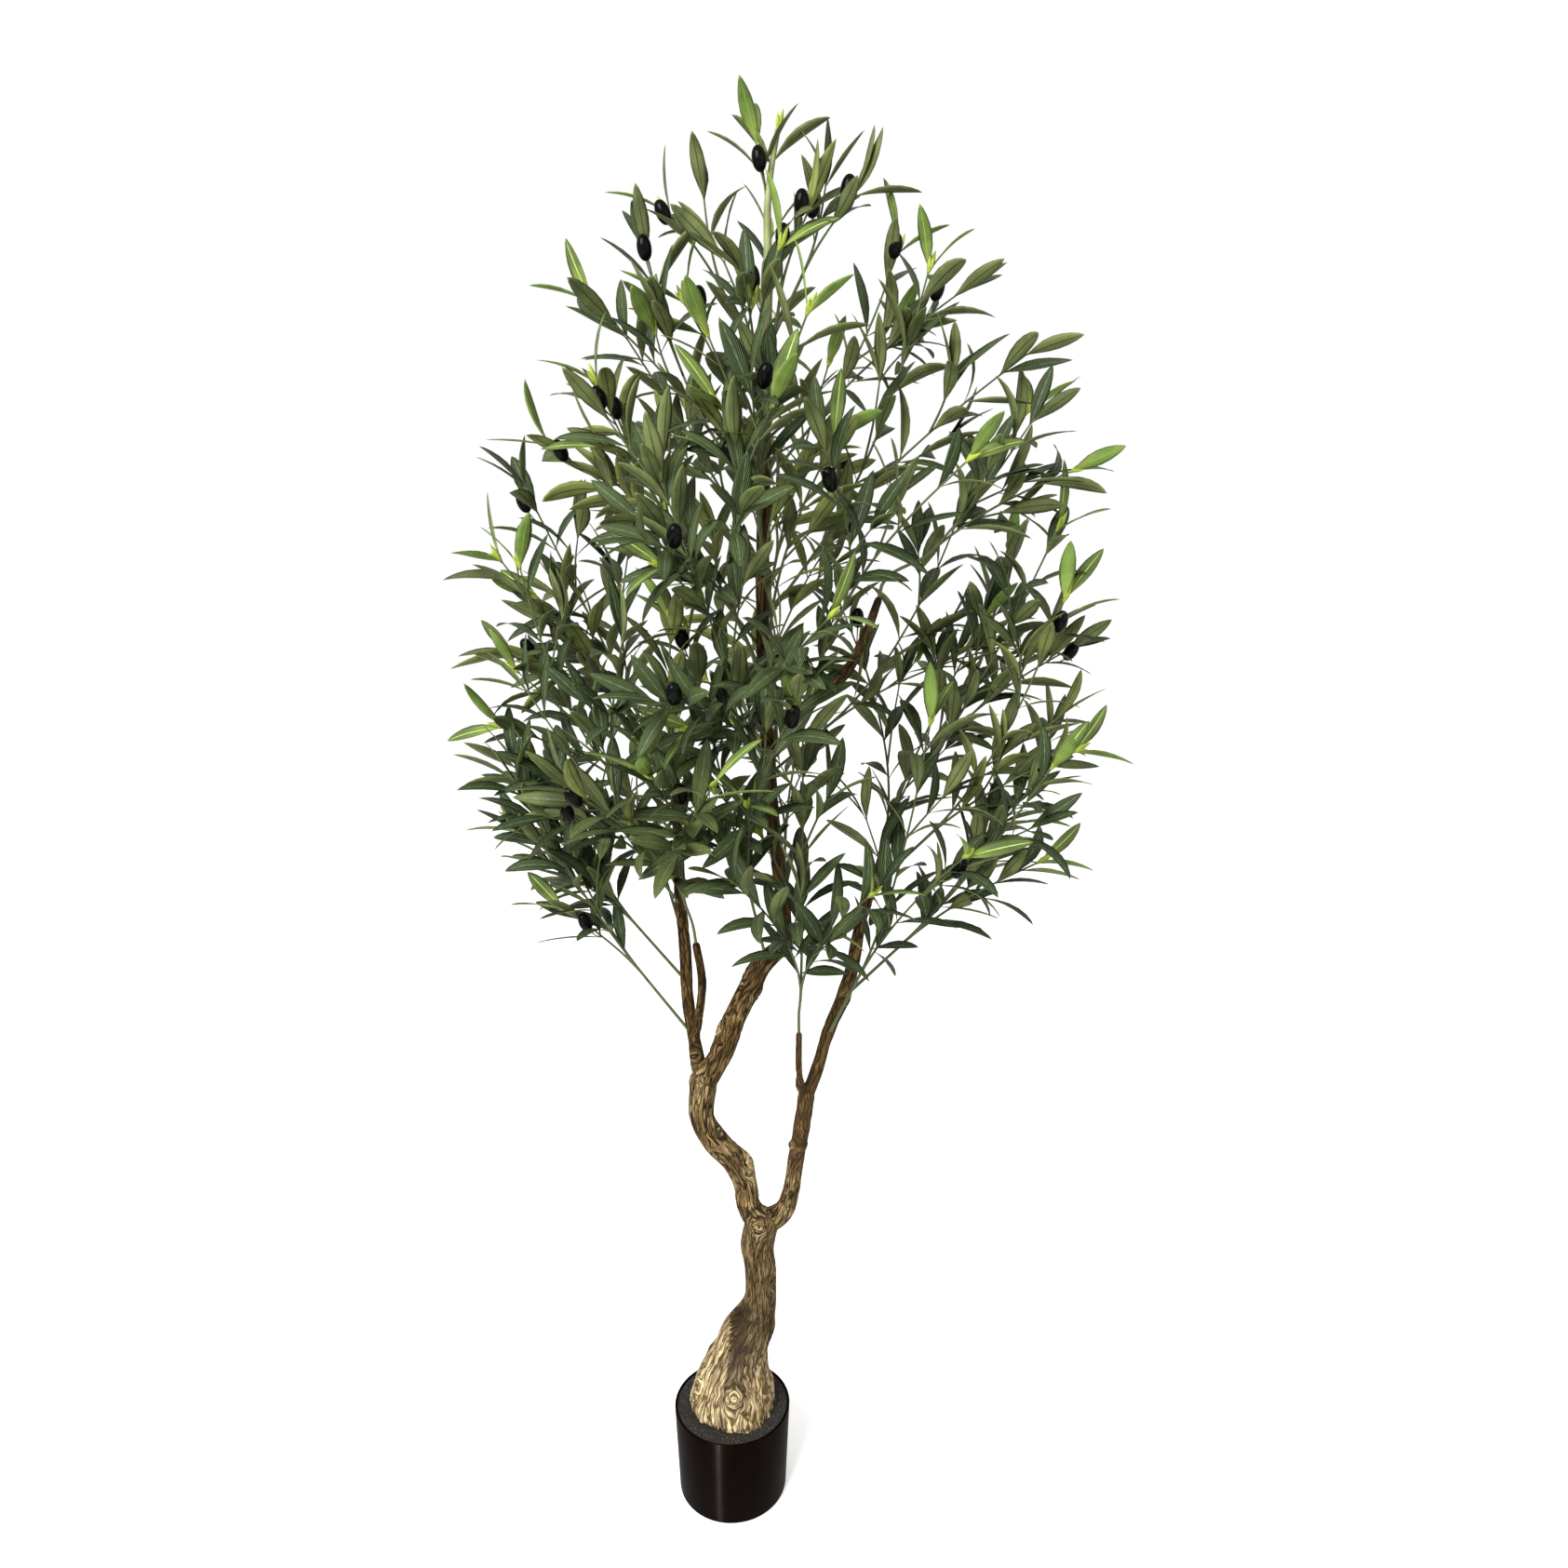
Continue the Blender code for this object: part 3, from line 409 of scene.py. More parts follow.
# The planter's mesh: sides, the level of its floor, rows in a rounded edge, and the hollow under
# its foot. The fill's mesh: sides, gap to the wall, and its top's rings and grit in millimetres.
POT_SIDES, POT_FLOOR, POT_EDGE_ROWS = 144, 0.0045, 5
POT_FOOT_INSET, POT_FOOT_HOLLOW = 0.008, 0.0015
FILL_SIDES, FILL_GAP = 220, 0.0006
FILL_RINGS, FILL_RING, FILL_GRIT = 22, 1.3, 0.3

# The camera that took the photo, and the studio's lights: place, aim, and width and height.
LENS, SENSOR, CAMERA_TILT = 24.57, 36.0, 79.0
CAMERA_PLACE, CAMERA_CLIP = (0.0745, -1.347, 1.301), (0.02, 200.0)
CROWN_AIM, POT_AIM = (0.05, 0.0, 0.9), (0.0, 0.0, 0.07)
LIGHTS = (
    ("key_light", (-1.3, -2.2, 2.6), CROWN_AIM, (1.6, 1.6)),
    ("fill_light", (2.2, -1.8, 1.6), CROWN_AIM, (1.6, 2.0)),
    ("strip_light", (-0.68, -1.72, 0.32), POT_AIM, (0.028, 0.5)),
)
STRIP_SPREAD = 12.0
FLOOR_SIZE = 60.0
WHITE = (1.0, 1.0, 1.0, 1.0)


def linear(text):
    """Linear red, green and blue of an sRGB hex colour."""
    values = [int(text[i:i + 2], 16) / 255.0 for i in (1, 3, 5)]
    return tuple(v / 12.92 if v <= 0.04045 else ((v + 0.055) / 1.055) ** 2.4 for v in values)


def colour_property(name, description, text):
    """A colour that a user may change, given as sRGB hex."""
    return FloatVectorProperty(name=name, description=description, subtype="COLOR", size=3,
                               min=0.0, max=1.0, default=linear(text))


def length_property(name, description, default):
    """A length in metres that a user may change."""
    return FloatProperty(name=name, description=description, default=default, min=0.0,
                         subtype="DISTANCE", unit="LENGTH", precision=4)


class PlanterSettings(bpy.types.PropertyGroup):
    """Sizes and colours of the planter and its fill."""

    foot_radius: length_property("Foot radius", "Radius of the planter at the floor", 0.0768)
    wall: length_property("Wall", "Thickness of the planter's wall", 0.0032)
    foot_edge: length_property("Foot edge", "Rounding of the planter's foot", 0.0040)
    plastic: colour_property("Plastic", "Colour of the moulded plastic", "#040201")
    foam: colour_property("Foam", "Colour of the foam fill", "#272523")
    grit: colour_property("Grit", "Colour of the pale grains in the fill", "#6f675a")


class BarkSettings(bpy.types.PropertyGroup):
    """Relief and colours of the moulded bark."""

    voxel: length_property("Voxel", "Grain of the moulded mesh", 0.0016)
    # Painted shade laid in the bark's cracks and grooves.
    crevice_shade: colour_property("Crevice", "Bark in the cracks", "#1f1407")


class FoliageSettings(bpy.types.PropertyGroup):
    """Sizes, counts and colours of the leaves, stems and olives."""

    leaf_length: length_property("Leaf length", "Length of a full leaf", 0.094)
    leaf_width: length_property("Leaf width", "Width of a full leaf", 0.0200)
    leaf_thickness: length_property("Leaf thickness", "Thickness of the cloth leaf", 0.0006)
    olive_radius: length_property("Olive radius", "Half the width of an olive", 0.0085)
    olive_half_length: length_property("Olive half length", "Half its length", 0.0140)
    seed: IntProperty(name="Seed", description="Seed of the finer growth", default=5)
    deep: colour_property("Deep green", "Upper face of the bluest leaves", "#141e0a")
    green: colour_property("Green", "Upper face of the middling leaves", "#202810")
    olive: colour_property("Olive green", "Upper face of the warmest leaves", "#343818")
    under: colour_property("Underside", "Underside of most leaves", "#4b5230")
    under_warm: colour_property("Warm underside", "Underside of the warm leaves", "#585e32")
    vein: colour_property("Vein", "Pale veins of the upper face", "#6b7a56")
    lime: colour_property("Lime", "Young leaves at the tips", "#3f4a26")
    bud: colour_property("Bud", "Buds between the young leaves", "#7d8a30")
    stem: colour_property("Stem", "Moulded green stems", "#3f4629")
    leader: colour_property("Leader", "Colour of the leader's green tip", "#6b7347")
    skin: colour_property("Olive skin", "Skin of the olives", "#060705")


class StudioSettings(bpy.types.PropertyGroup):
    """Floor and lights."""

    floor: colour_property("Floor", "Colour of the floor", "#f4f3f1")
    glow: FloatProperty(name="Glow", description="Glow that lifts the floor to the sky", default=0.13)
    sky: FloatProperty(name="Sky", description="Strength of the even light", default=1.0)
    key: FloatProperty(name="Key", description="Watts of the key light", default=215.0)
    fill: FloatProperty(name="Fill", description="Watts of the fill light", default=26.0)
    strip: FloatProperty(name="Strip", description="Watts of the strip light", default=2.4)


def deselect_all():
    """Leave nothing selected, in object mode."""
    if bpy.context.object and bpy.context.object.mode != "OBJECT":
        bpy.ops.object.mode_set(mode="OBJECT")
    bpy.ops.object.select_all(action="DESELECT")


def named(name):
    """Give the active object its name."""
    piece = bpy.context.object
    piece.name = name
    piece.data.name = name
    return piece


def edit(kind, chosen):
    """In edit mode, select only the vertices, edges or faces that a test chooses."""
    bpy.ops.object.mode_set(mode="EDIT")
    bpy.ops.mesh.select_mode(type=kind)
    bpy.ops.mesh.select_all(action="DESELECT")
    bpy.ops.object.mode_set(mode="OBJECT")
    mesh = bpy.context.object.data
    items = {"VERT": mesh.vertices, "EDGE": mesh.edges, "FACE": mesh.polygons}[kind]
    for item in items:
        item.select = bool(chosen(mesh, item))
    bpy.ops.object.mode_set(mode="EDIT")


def settle(piece, slot, *nodes):
    """Place a piece in its mesh, ride it on the frame and hide the frame's parts that it stands for.
    """
    deselect_all()
    piece.select_set(True)
    bpy.context.view_layer.objects.active = piece
    bpy.ops.object.transform_apply(location=True, rotation=True, scale=True)
    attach(piece, "root")
    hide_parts(*nodes)


def shade(colour):
    """Colour and alpha for a socket, from sRGB hex or from linear values."""
    return (*(linear(colour) if isinstance(colour, str) else colour), 1.0)


def pattern(millimetres):
    """The scale that gives a pattern of about this size on metres."""
    return 1.0 / (millimetres * MM)


def link(tree, node, sources):
    """Join sources to a node's sockets. A node given as a source stands for its first output."""
    for socket, source in sources.items():
        tree.links.new(getattr(source, "outputs", (source,))[0], node.inputs[socket])


def add_node(tree, kind, values=None, sources=None, ramp=None, **settings):
    """Add a shader node with its settings, socket values, links and colour stops."""
    made = tree.nodes.new("ShaderNode" + kind)
    for key, value in settings.items():
        setattr(made, key, value)
    for socket, value in (values or {}).items():
        made.inputs[socket].default_value = value
    link(tree, made, sources or {})
    if ramp:
        stops = made.color_ramp.elements
        while len(stops) < len(ramp):
            stops.new(0.5)
        for stop, (place, colour) in zip(stops, ramp):
            stop.position = place
            stop.color = shade(colour)
    return made


def new_material(name, roughness, **plain):
    """A new material: its tree, its shader with its plain values set, and its own coordinates."""
    look = bpy.data.materials.new(name)
    look.use_nodes = True
    tree = look.node_tree
    shader = tree.nodes["Principled BSDF"]
    for socket, value in {"Roughness": roughness, "Specular_IOR_Level": 0.18, **plain}.items():
        shader.inputs[socket.replace("_", " ")].default_value = value
    return look, tree, shader, add_node(tree, "TexCoord").outputs["Object"]


def solid_from_arrays(name, points, corners, sizes, slots, looks, uv=None):
    """A mesh object from flat arrays: points, the faces' corners, their sizes and slots."""
    mesh = bpy.data.meshes.new(name)
    mesh.vertices.add(len(points))
    mesh.vertices.foreach_set("co", np.asarray(points, dtype=np.float32).ravel())
    mesh.loops.add(len(corners))
    mesh.loops.foreach_set("vertex_index", np.asarray(corners, dtype=np.int32))
    mesh.polygons.add(len(sizes))
    starts = np.concatenate([[0], np.cumsum(sizes)[:-1]])
    mesh.polygons.foreach_set("loop_start", starts.astype(np.int32))
    for look in looks:
        mesh.materials.append(look)
    mesh.polygons.foreach_set("material_index", np.asarray(slots, dtype=np.int32))
    if uv is not None:
        layer = mesh.uv_layers.new(name="blade")
        layer.uv.foreach_set("vector", np.asarray(uv, dtype=np.float32).ravel())
    mesh.update(calc_edges=True)
    mesh.validate()
    mesh.shade_smooth()
    piece = bpy.data.objects.new(name, mesh)
    bpy.context.scene.collection.objects.link(piece)
    return piece


class Route:
    """A smooth line through a few bends, with a radius at each point."""

    def __init__(self, bends, pitch):
        bends = np.array(bends, dtype=float)
        first = 2.0 * bends[0] - bends[1]
        last = 2.0 * bends[-1] - bends[-2]
        guide = np.vstack([first, bends, last])
        points = []
        for i in range(1, len(guide) - 2):
            a, b, c, d = guide[i - 1:i + 3]
            steps = max(2, math.ceil(np.linalg.norm(c[:3] - b[:3]) / pitch))
            for t in np.arange(steps) / steps:
                points.append(0.5 * (2.0 * b + (c - a) * t + (2.0 * a - 5.0 * b + 4.0 * c - d) * t * t
                                     + (3.0 * b - a - 3.0 * c + d) * t ** 3))
        points.append(bends[-1])
        self.points = np.array(points)
        legs = np.linalg.norm(np.diff(self.points[:, :3], axis=0), axis=1)
        self.far = np.concatenate([[0.0], np.cumsum(legs)])
        self.length = float(self.far[-1])
        self.headings = np.gradient(self.points[:, :3], self.far, axis=0)
        self.headings /= np.linalg.norm(self.headings, axis=1)[:, None]
        self.sides = self.carried_sides()

    def carried_sides(self):
        """A sideways direction at each point, carried along the route without twisting."""
        side = np.array(Vector(self.headings[0]).orthogonal().normalized())
        sides = []
        for heading in self.headings:
            side = side - heading * np.dot(side, heading)
            side = side / np.linalg.norm(side)
            sides.append(side)
        return np.array(sides)

    def at(self, distance):
        """Place and radius at a distance along the route."""
        values = [np.interp(distance, self.far, self.points[:, k]) for k in range(4)]
        return Vector(values[:3]), float(values[3])

    def heading(self, distance):
        """The way the route runs at a distance along it."""
        way = [np.interp(distance, self.far, self.headings[:, k]) for k in range(3)]
        return Vector(way).normalized()

    def side(self, distance):
        """The sideways direction at a distance, square to the route."""
        heading = self.heading(distance)
        near = Vector(self.sides[int(np.argmin(np.abs(self.far - distance)))])
        return (near - heading * near.dot(heading)).normalized()


def limb_routes():
    """The route of every limb and bough."""
    return {name: Route(bends, LIMB_PITCH) for name, bends in ROUTES.items()}


def limb_points(routes):
    """A search tree of the points along every limb, and the limb's radius at each."""
    spots = np.vstack([route.points for route in routes.values()])
    tree = KDTree(len(spots))
    for i, spot in enumerate(spots):
        tree.insert(spot[:3], i)
    tree.balance()
    return tree, spots[:, 3]


def in_crown(point, room=0.0):
    """Whether a point lies inside the crown's skin, with some room to spare."""
    x, y, z = (point[k] - CROWN_MIDDLE[k] for k in range(3))
    tall = (CROWN_ABOVE if z > 0.0 else CROWN_BELOW) - room
    rise = (z / tall) ** 2
    if rise >= 1.0:
        return False
    wide = (1.0 - rise) ** (CROWN_TOP_PINCH if z > 0.0 else CROWN_FOOT_PINCH)
    return (x / (CROWN_HALF_WIDTH - room)) ** 2 + (y / (CROWN_HALF_DEPTH - room)) ** 2 < wide ** 2


def way_to_skin(start, direction):
    """How far a shoot can run before its last leaves reach the crown's skin."""
    distance = 0.0
    entered = False
    while distance < 1.0:
        inside = in_crown(start + direction * distance, SKIN_LEAF_ROOM)
        if entered and not inside:
            break
        entered = entered or inside
        distance += SKIN_STEP
    return distance if entered else 0.0


class Spray:
    """One spray: its stem, the shoots that it forks into, and their finer side twigs."""

    def __init__(self, row, routes, seed):
        self.name, self.limb, along, azimuth, rise, self.count, fan, turn, self.share = row
        self.rng = random.Random(f"{self.name} {seed}")
        azimuth, rise = math.radians(azimuth), math.radians(rise)
        self.axis = Vector((math.cos(azimuth) * math.cos(rise),
                            math.sin(azimuth) * math.cos(rise), math.sin(rise)))
        self.fan = math.radians(fan)
        self.turn = math.radians(turn)
        route = routes[self.limb]
        self.foot, radius = route.at(along * route.length)
        heading = route.heading(along * route.length)
        self.start = heading if along >= 1.0 else self.axis
        reach = 0.0 if along >= 1.0 else (
            (radius + SEAT_ROOM) / heading.cross(self.axis).length + SEAT_CLEAR)
        self.seat = self.foot + self.start * reach
        self.stem = min(STEM_LENGTH, STEM_SHARE * way_to_skin(self.seat, self.axis))
        self.shoots = [self.shoot(k) for k in range(self.count)]
        self.twigs = []
        for shoot in self.shoots:
            self.twigs += self.side_twigs(shoot)

    def shoot(self, k):
        """Points along one shoot. The first runs on from the limb, the others leave the fork."""
        fork = self.seat + self.axis * self.stem
        side = self.axis.cross(UP).normalized()
        lean = Matrix.Rotation(self.turn + 2.0 * math.pi * k / self.count, 3, self.axis) @ side
        outward = (self.axis * math.cos(self.fan) + lean * math.sin(self.fan)).normalized()
        length = way_to_skin(fork, outward) * self.share * SHOOT_SHARES[k]
        length = max(SHOOT_SHORTEST, min(SHOOT_LONGEST, length))
        tip = fork + outward * length + UP * (SHOOT_LIFT * length)
        bend = fork + self.axis * (SHOOT_BEND * length)
        points = [fork - self.axis * (FORK_SUNK * self.stem)]
        if k == 0:
            sunk = self.foot - self.start * STEM_SUNK
            points = [sunk, self.seat, self.seat + self.start * (STEM_TURN * self.stem), fork]
        for t in SHOOT_POINTS:
            points.append((1 - t) ** 2 * fork + 2 * t * (1 - t) * bend + t * t * tip)
        thick, thin = STEM_RADIUS if k == 0 else SHOOT_RADIUS, TIP_RADIUS
        if self.name == LEADING_SPRAY and k == 0:
            thick, thin = LEADING_RADIUS, LEADING_TAPER * LEADING_RADIUS
        bends = []
        for i, place in enumerate(points):
            bends.append((*place, thick + (thin - thick) * i / (len(points) - 1)))
        made = Route(bends, STEM_PITCH)
        made.bare = PAIR_FIRST + ((self.stem + (self.seat - self.foot).length) if k == 0 else 0.0)
        return made

    def side_twigs(self, shoot):
        """Finer twigs that leave a shoot on alternate sides and stay inside the skin."""
        made = []
        turn = self.rng.uniform(0.0, 2.0 * math.pi)
        for share in SIDE_TWIG_SHARES:
            turn += math.pi + self.rng.uniform(-SIDE_TWIG_SWING, SIDE_TWIG_SWING)
            distance = shoot.bare + (shoot.length - shoot.bare) * share
            place, radius = shoot.at(distance)
            heading = shoot.heading(distance)
            side = Matrix.Rotation(turn, 3, heading) @ shoot.side(distance)
            angle = math.radians(SIDE_TWIG_ANGLE
                                 + self.rng.uniform(-SIDE_TWIG_STRAY, SIDE_TWIG_STRAY))
            out = (heading * math.cos(angle) + side * math.sin(angle)
                   + UP * SIDE_TWIG_RISE).normalized()
            length = min(SIDE_TWIG_LONGEST, SIDE_TWIG_LENGTH * (shoot.length - distance))
            length = min(length, way_to_skin(place, out))
            if length < SIDE_TWIG_SHORTEST:
                continue
            start = place + out * (SIDE_TWIG_SEAT * radius)
            middle = place + out * (0.5 * length) + heading * (SIDE_TWIG_BOW * length)
            tip = place + out * length + UP * (SIDE_TWIG_LIFT * length)
            bends = [(*place, thick) for place, thick in zip((start, middle, tip), SIDE_TWIG_RADII)]
            made.append(Route(bends, STEM_PITCH))
            made[-1].bare = SIDE_TWIG_BARE
        return made


# One leaf: where it starts, the ways that it and its face point, its size, bend and kind.
Leaf = namedtuple("Leaf", "root out normal length width curl twist kind")


def blade_template():
    """A leaf's vertices as (along, across, below), and its faces with their slots."""
    spots = []
    for t, wide in BLADE_ROWS:
        spots += [(t, u * wide, 0.0) for u in BLADE_COLUMNS]
        spots += [(t, u * wide, 1.0) for u in BLADE_COLUMNS[1:-1]]
    spots.append((1.0, 0.0, 0.5))
    tip = len(spots) - 1
    last = len(BLADE_ROWS) - 1
    ring = tip // len(BLADE_ROWS)
    edge = len(BLADE_COLUMNS) - 1
    top = list(range(edge + 1))
    low = [0, *range(edge + 1, ring), edge]
    faces, slots = [], []
    for row in range(last + 1):
        for column in range(edge):
            a, b = top[column] + row * ring, top[column + 1] + row * ring
            c, d = low[column] + row * ring, low[column + 1] + row * ring
            faces.append((a, b, b + ring, a + ring) if row < last else (a, b, tip))
            faces.append((d, c, c + ring, d + ring) if row < last else (d, c, tip))
            midrib = 2 if column == edge // 2 else 0
            slots += [midrib, midrib + 1]
    faces.append((*reversed(top), *low[1:-1]))
    slots.append(1)
    return np.array(spots), faces, np.array(slots)


def blade_arrays(leaves, thickness):
    """Points, corners, sizes, slots and blade coordinates of many bent leaves."""
    spots, faces, slots = blade_template()
    count = len(leaves)
    root, out, normal, length, width, curl, twist, kinds = map(np.array, zip(*leaves))
    across = np.cross(out, normal)
    rows = np.array([row[0] for row in BLADE_ROWS] + [1.0])
    spine = np.zeros((count, len(rows), 3))
    spine[:, 0] = root
    for k in range(1, len(rows)):
        bend = curl * (0.5 * (rows[k] + rows[k - 1])) ** BEND_POWER
        step = (rows[k] - rows[k - 1]) * length
        way = out * np.cos(bend)[:, None] - normal * np.sin(bend)[:, None]
        spine[:, k] = spine[:, k - 1] + way * step[:, None]
    points = np.zeros((count, len(spots), 3))
    for i, (t, u, below) in enumerate(spots):
        row = int(np.argmin(np.abs(rows - t)))
        bend = curl * t ** BEND_POWER
        up = normal * np.cos(bend)[:, None] + out * np.sin(bend)[:, None]
        turn = (twist * t)[:, None]
        wide = across * np.cos(turn) + up * np.sin(turn)
        high = up * np.cos(turn) - across * np.sin(turn)
        lift = BLADE_CUP * abs(u) * 0.5 * width * (1.0 - 0.5 * t) - thickness * below
        points[:, i] = spine[:, row] + wide * (0.5 * u * width)[:, None] + high * lift[:, None]
    corners = np.array([corner for face in faces for corner in face])
    sizes = np.array([len(face) for face in faces])
    base = np.arange(count)[:, None] * len(spots)
    uv_one = np.array([(spots[c][1] * 0.5 + 0.5, spots[c][0]) for c in corners])
    return (points.reshape(-1, 3), (base + corners[None]).ravel(), np.tile(sizes, count),
            (kinds[:, None] * BLADE_SLOTS + slots[None]).ravel(), np.tile(uv_one, (count, 1)))


def grow_leaves(sprays, settings, limbs):
    """Every leaf and bud of the crown, in pairs along shoots and twigs and in tip rosettes."""
    leaves, buds = {}, []
    for spray in sprays:
        rng = spray.rng
        tint = rng.choice(TINTS)
        made = []
        for stem in spray.shoots + spray.twigs:
            young = rng.random() < (YOUNG_SHOOTS if stem in spray.shoots else YOUNG_TWIGS)
            tip, _ = stem.at(stem.length)
            heading = stem.heading(stem.length)
            turn = rng.uniform(0.0, math.pi)
            leading = spray.name == LEADING_SPRAY and stem is spray.shoots[0]
            if leading:
                side = stem.side(stem.length)
                turn = math.atan2(heading.cross(side).x, side.x)
            for i in range(2 if young else 3):
                angle = rng.uniform(*(ROSETTE_ANGLE if i < 2 else ROSETTE_INNER_ANGLE))
                if leading and i < 2:
                    angle = TOP_LEAF_ANGLE
                curl, scale = rng.uniform(*ROSETTE_CURL), rng.uniform(*ROSETTE_SCALES)
                made.append(new_leaf(stem, stem.length - ROSETTE_STEP * i, turn + math.pi * i, angle,
                                     curl, scale, YOUNG if young else tint, rng, settings, limbs))
            if young:
                buds.append((tip, heading))
            run = stem.length - stem.bare - PAIR_LAST
            count = max(1, int(run / (DENSER_STEP if spray.name in DENSER_SPRAYS else PAIR_STEP)))
            for i in range(count):
                share = (i + 0.5) / count
                distance = stem.bare + run * share
                turn += math.radians((180 if leading else PAIR_TURN)
                                     + rng.uniform(-PAIR_STRAY, PAIR_STRAY))
                middle = LEAF_ANGLE + (LEAF_ANGLE_AT_TIP - LEAF_ANGLE) * share
                for half in range(2):
                    angle = middle + rng.uniform(-LEAF_STRAY, LEAF_STRAY)
                    curl, scale = rng.uniform(*LEAF_CURL), rng.uniform(*LEAF_SCALES)
                    made.append(new_leaf(stem, distance + PAIR_OFFSET * half, turn + math.pi * half,
                                         angle, curl, scale, tint, rng, settings, limbs))
        leaves[spray.name] = [leaf for leaf in made if leaf]
    return leaves, buds


def hides_leader(place, end):
    """Whether a leaf would cross in front of the leader's green tip."""
    across = sorted((place.x - LEADER_TOP[0], end.x - LEADER_TOP[0]))
    crosses = across[0] < LEADER_CLEAR and across[1] > -LEADER_CLEAR
    in_front = end.y < LEADER_TOP[1] and end.z > LEADER_CLEAR_FROM
    return crosses and in_front and min(abs(across[0]), abs(across[1])) > LEADER_RADIUS


def new_leaf(stem, distance, turn, angle, curl, scale, kind, rng, settings, limbs):
    """One leaf, or None where it would leave the crown, hide the leader or touch a limb."""
    place, _ = stem.at(distance)
    if place.z < LEAFLESS_BELOW:
        return None
    angle, curl = math.radians(angle), math.radians(curl)
    heading = stem.heading(distance)
    side = Matrix.Rotation(turn, 3, heading) @ stem.side(distance)
    out = heading * math.cos(angle) + side * math.sin(angle)
    out = (out - UP * (LEAF_DROOP * math.sin(angle))).normalized()
    along, up, sideways = LEAF_FACING
    normal = heading * along + UP * up + side * sideways
    normal = (normal - out * normal.dot(out)).normalized()
    roll = math.radians(rng.uniform(-LEAF_ROLL, LEAF_ROLL))
    normal = Matrix.Rotation(roll, 3, out) @ normal
    length = settings.leaf_length * scale
    end = place + out * (length * math.cos(0.5 * curl)) - normal * (length * math.sin(0.5 * curl))
    if not in_crown(end, -SKIN_STRAY) or hides_leader(place, end):
        return None
    tree, radii = limbs
    for share in LIMB_TESTS:
        _, index, gap = tree.find(place.lerp(end, share))
        if gap < radii[index] + LIMB_ROOM:
            return None
    twist = math.radians(rng.uniform(-LEAF_TWIST, LEAF_TWIST))
    width = settings.leaf_width * (0.5 + 0.5 * scale) * rng.uniform(*LEAF_WIDTHS)
    return Leaf(place, out, normal, length, width, curl, twist, kind)


def ring_tube(places, radii, headings, sideways, sides):
    """Points and faces of a closed tube."""
    angles = 2.0 * np.pi * np.arange(sides) / sides
    across = np.cross(headings, sideways)
    around = (np.cos(angles)[None, :, None] * sideways[:, None, :]
              + np.sin(angles)[None, :, None] * across[:, None, :])
    points = places[:, None, :] + around * radii[:, None, None]
    rings = len(places)
    low = (np.arange(rings - 1)[:, None] * sides + np.arange(sides)[None]).ravel()
    nxt = (np.arange(rings - 1)[:, None] * sides + (np.arange(sides)[None] + 1) % sides).ravel()
    quads = np.stack([low, nxt, nxt + sides, low + sides], axis=1)
    corners = np.concatenate([quads.ravel(), np.arange(sides)[::-1],
                              np.arange(sides) + (rings - 1) * sides])
    sizes = np.concatenate([np.full(len(quads), 4), [sides, sides]])
    return points.reshape(-1, 3), corners, sizes


def lathe(middle, way, outline, scale, sides):
    """A turned solid about an axis, from its outline of (along, radius)."""
    along, radii = np.array(outline).T * scale
    way = np.array(way)
    places = np.array(middle)[None] + along[:, None] * way[None]
    headings = np.repeat(way[None], len(along), axis=0)
    sideways = np.repeat(np.array(Vector(way).orthogonal().normalized())[None], len(along), axis=0)
    return ring_tube(places, radii, headings, sideways, sides)


def joined(parts):
    """Several (points, corners, sizes) as one."""
    points, corners, sizes = [], [], []
    base = 0
    for part in parts:
        points.append(part[0])
        corners.append(part[1] + base)
        sizes.append(part[2])
        base += len(part[0])
    return np.vstack(points), np.concatenate(corners), np.concatenate(sizes)


def limb_tube(route):
    """A limb as a smooth closed tube with a domed end."""
    sides = int(max(LEAST_SIDES, 2.0 * math.pi * route.points[:, 3].max() / LIMB_FACET))
    turns = np.radians(DOME_TURNS)
    last = route.points[-1, 3]
    dome = route.points[-1, :3] + route.headings[-1] * (last * np.sin(turns))[:, None]
    return ring_tube(np.vstack([route.points[:, :3], dome]),
                     np.concatenate([route.points[:, 3], last * np.cos(turns)]),
                     np.vstack([route.headings, np.repeat(route.headings[-1:], len(turns), axis=0)]),
                     np.vstack([route.sides, np.repeat(route.sides[-1:], len(turns), axis=0)]), sides)


def bark_piece(name, limbs, routes, look, voxel):
    """Weld limbs into one moulded piece, and carve the bark's relief into it."""
    points, corners, sizes = joined([limb_tube(routes[limb]) for limb in limbs])
    piece = solid_from_arrays(name, points, corners, sizes, np.zeros(len(sizes)), [look])
    deselect_all()
    piece.select_set(True)
    bpy.context.view_layer.objects.active = piece
    remesh = piece.modifiers.new("Weld", "REMESH")
    remesh.mode = "VOXEL"
    remesh.voxel_size = voxel
    bpy.ops.object.modifier_apply(modifier=remesh.name)
    soften = piece.modifiers.new("Soften", "SMOOTH")
    soften.iterations = SMOOTHINGS
    bpy.ops.object.modifier_apply(modifier=soften.name)
    mesh = piece.data
    mesh.materials.clear()
    mesh.materials.append(look)
    mesh.shade_smooth()
    carve_bark(mesh, {limb: routes[limb] for limb in limbs})
    return piece


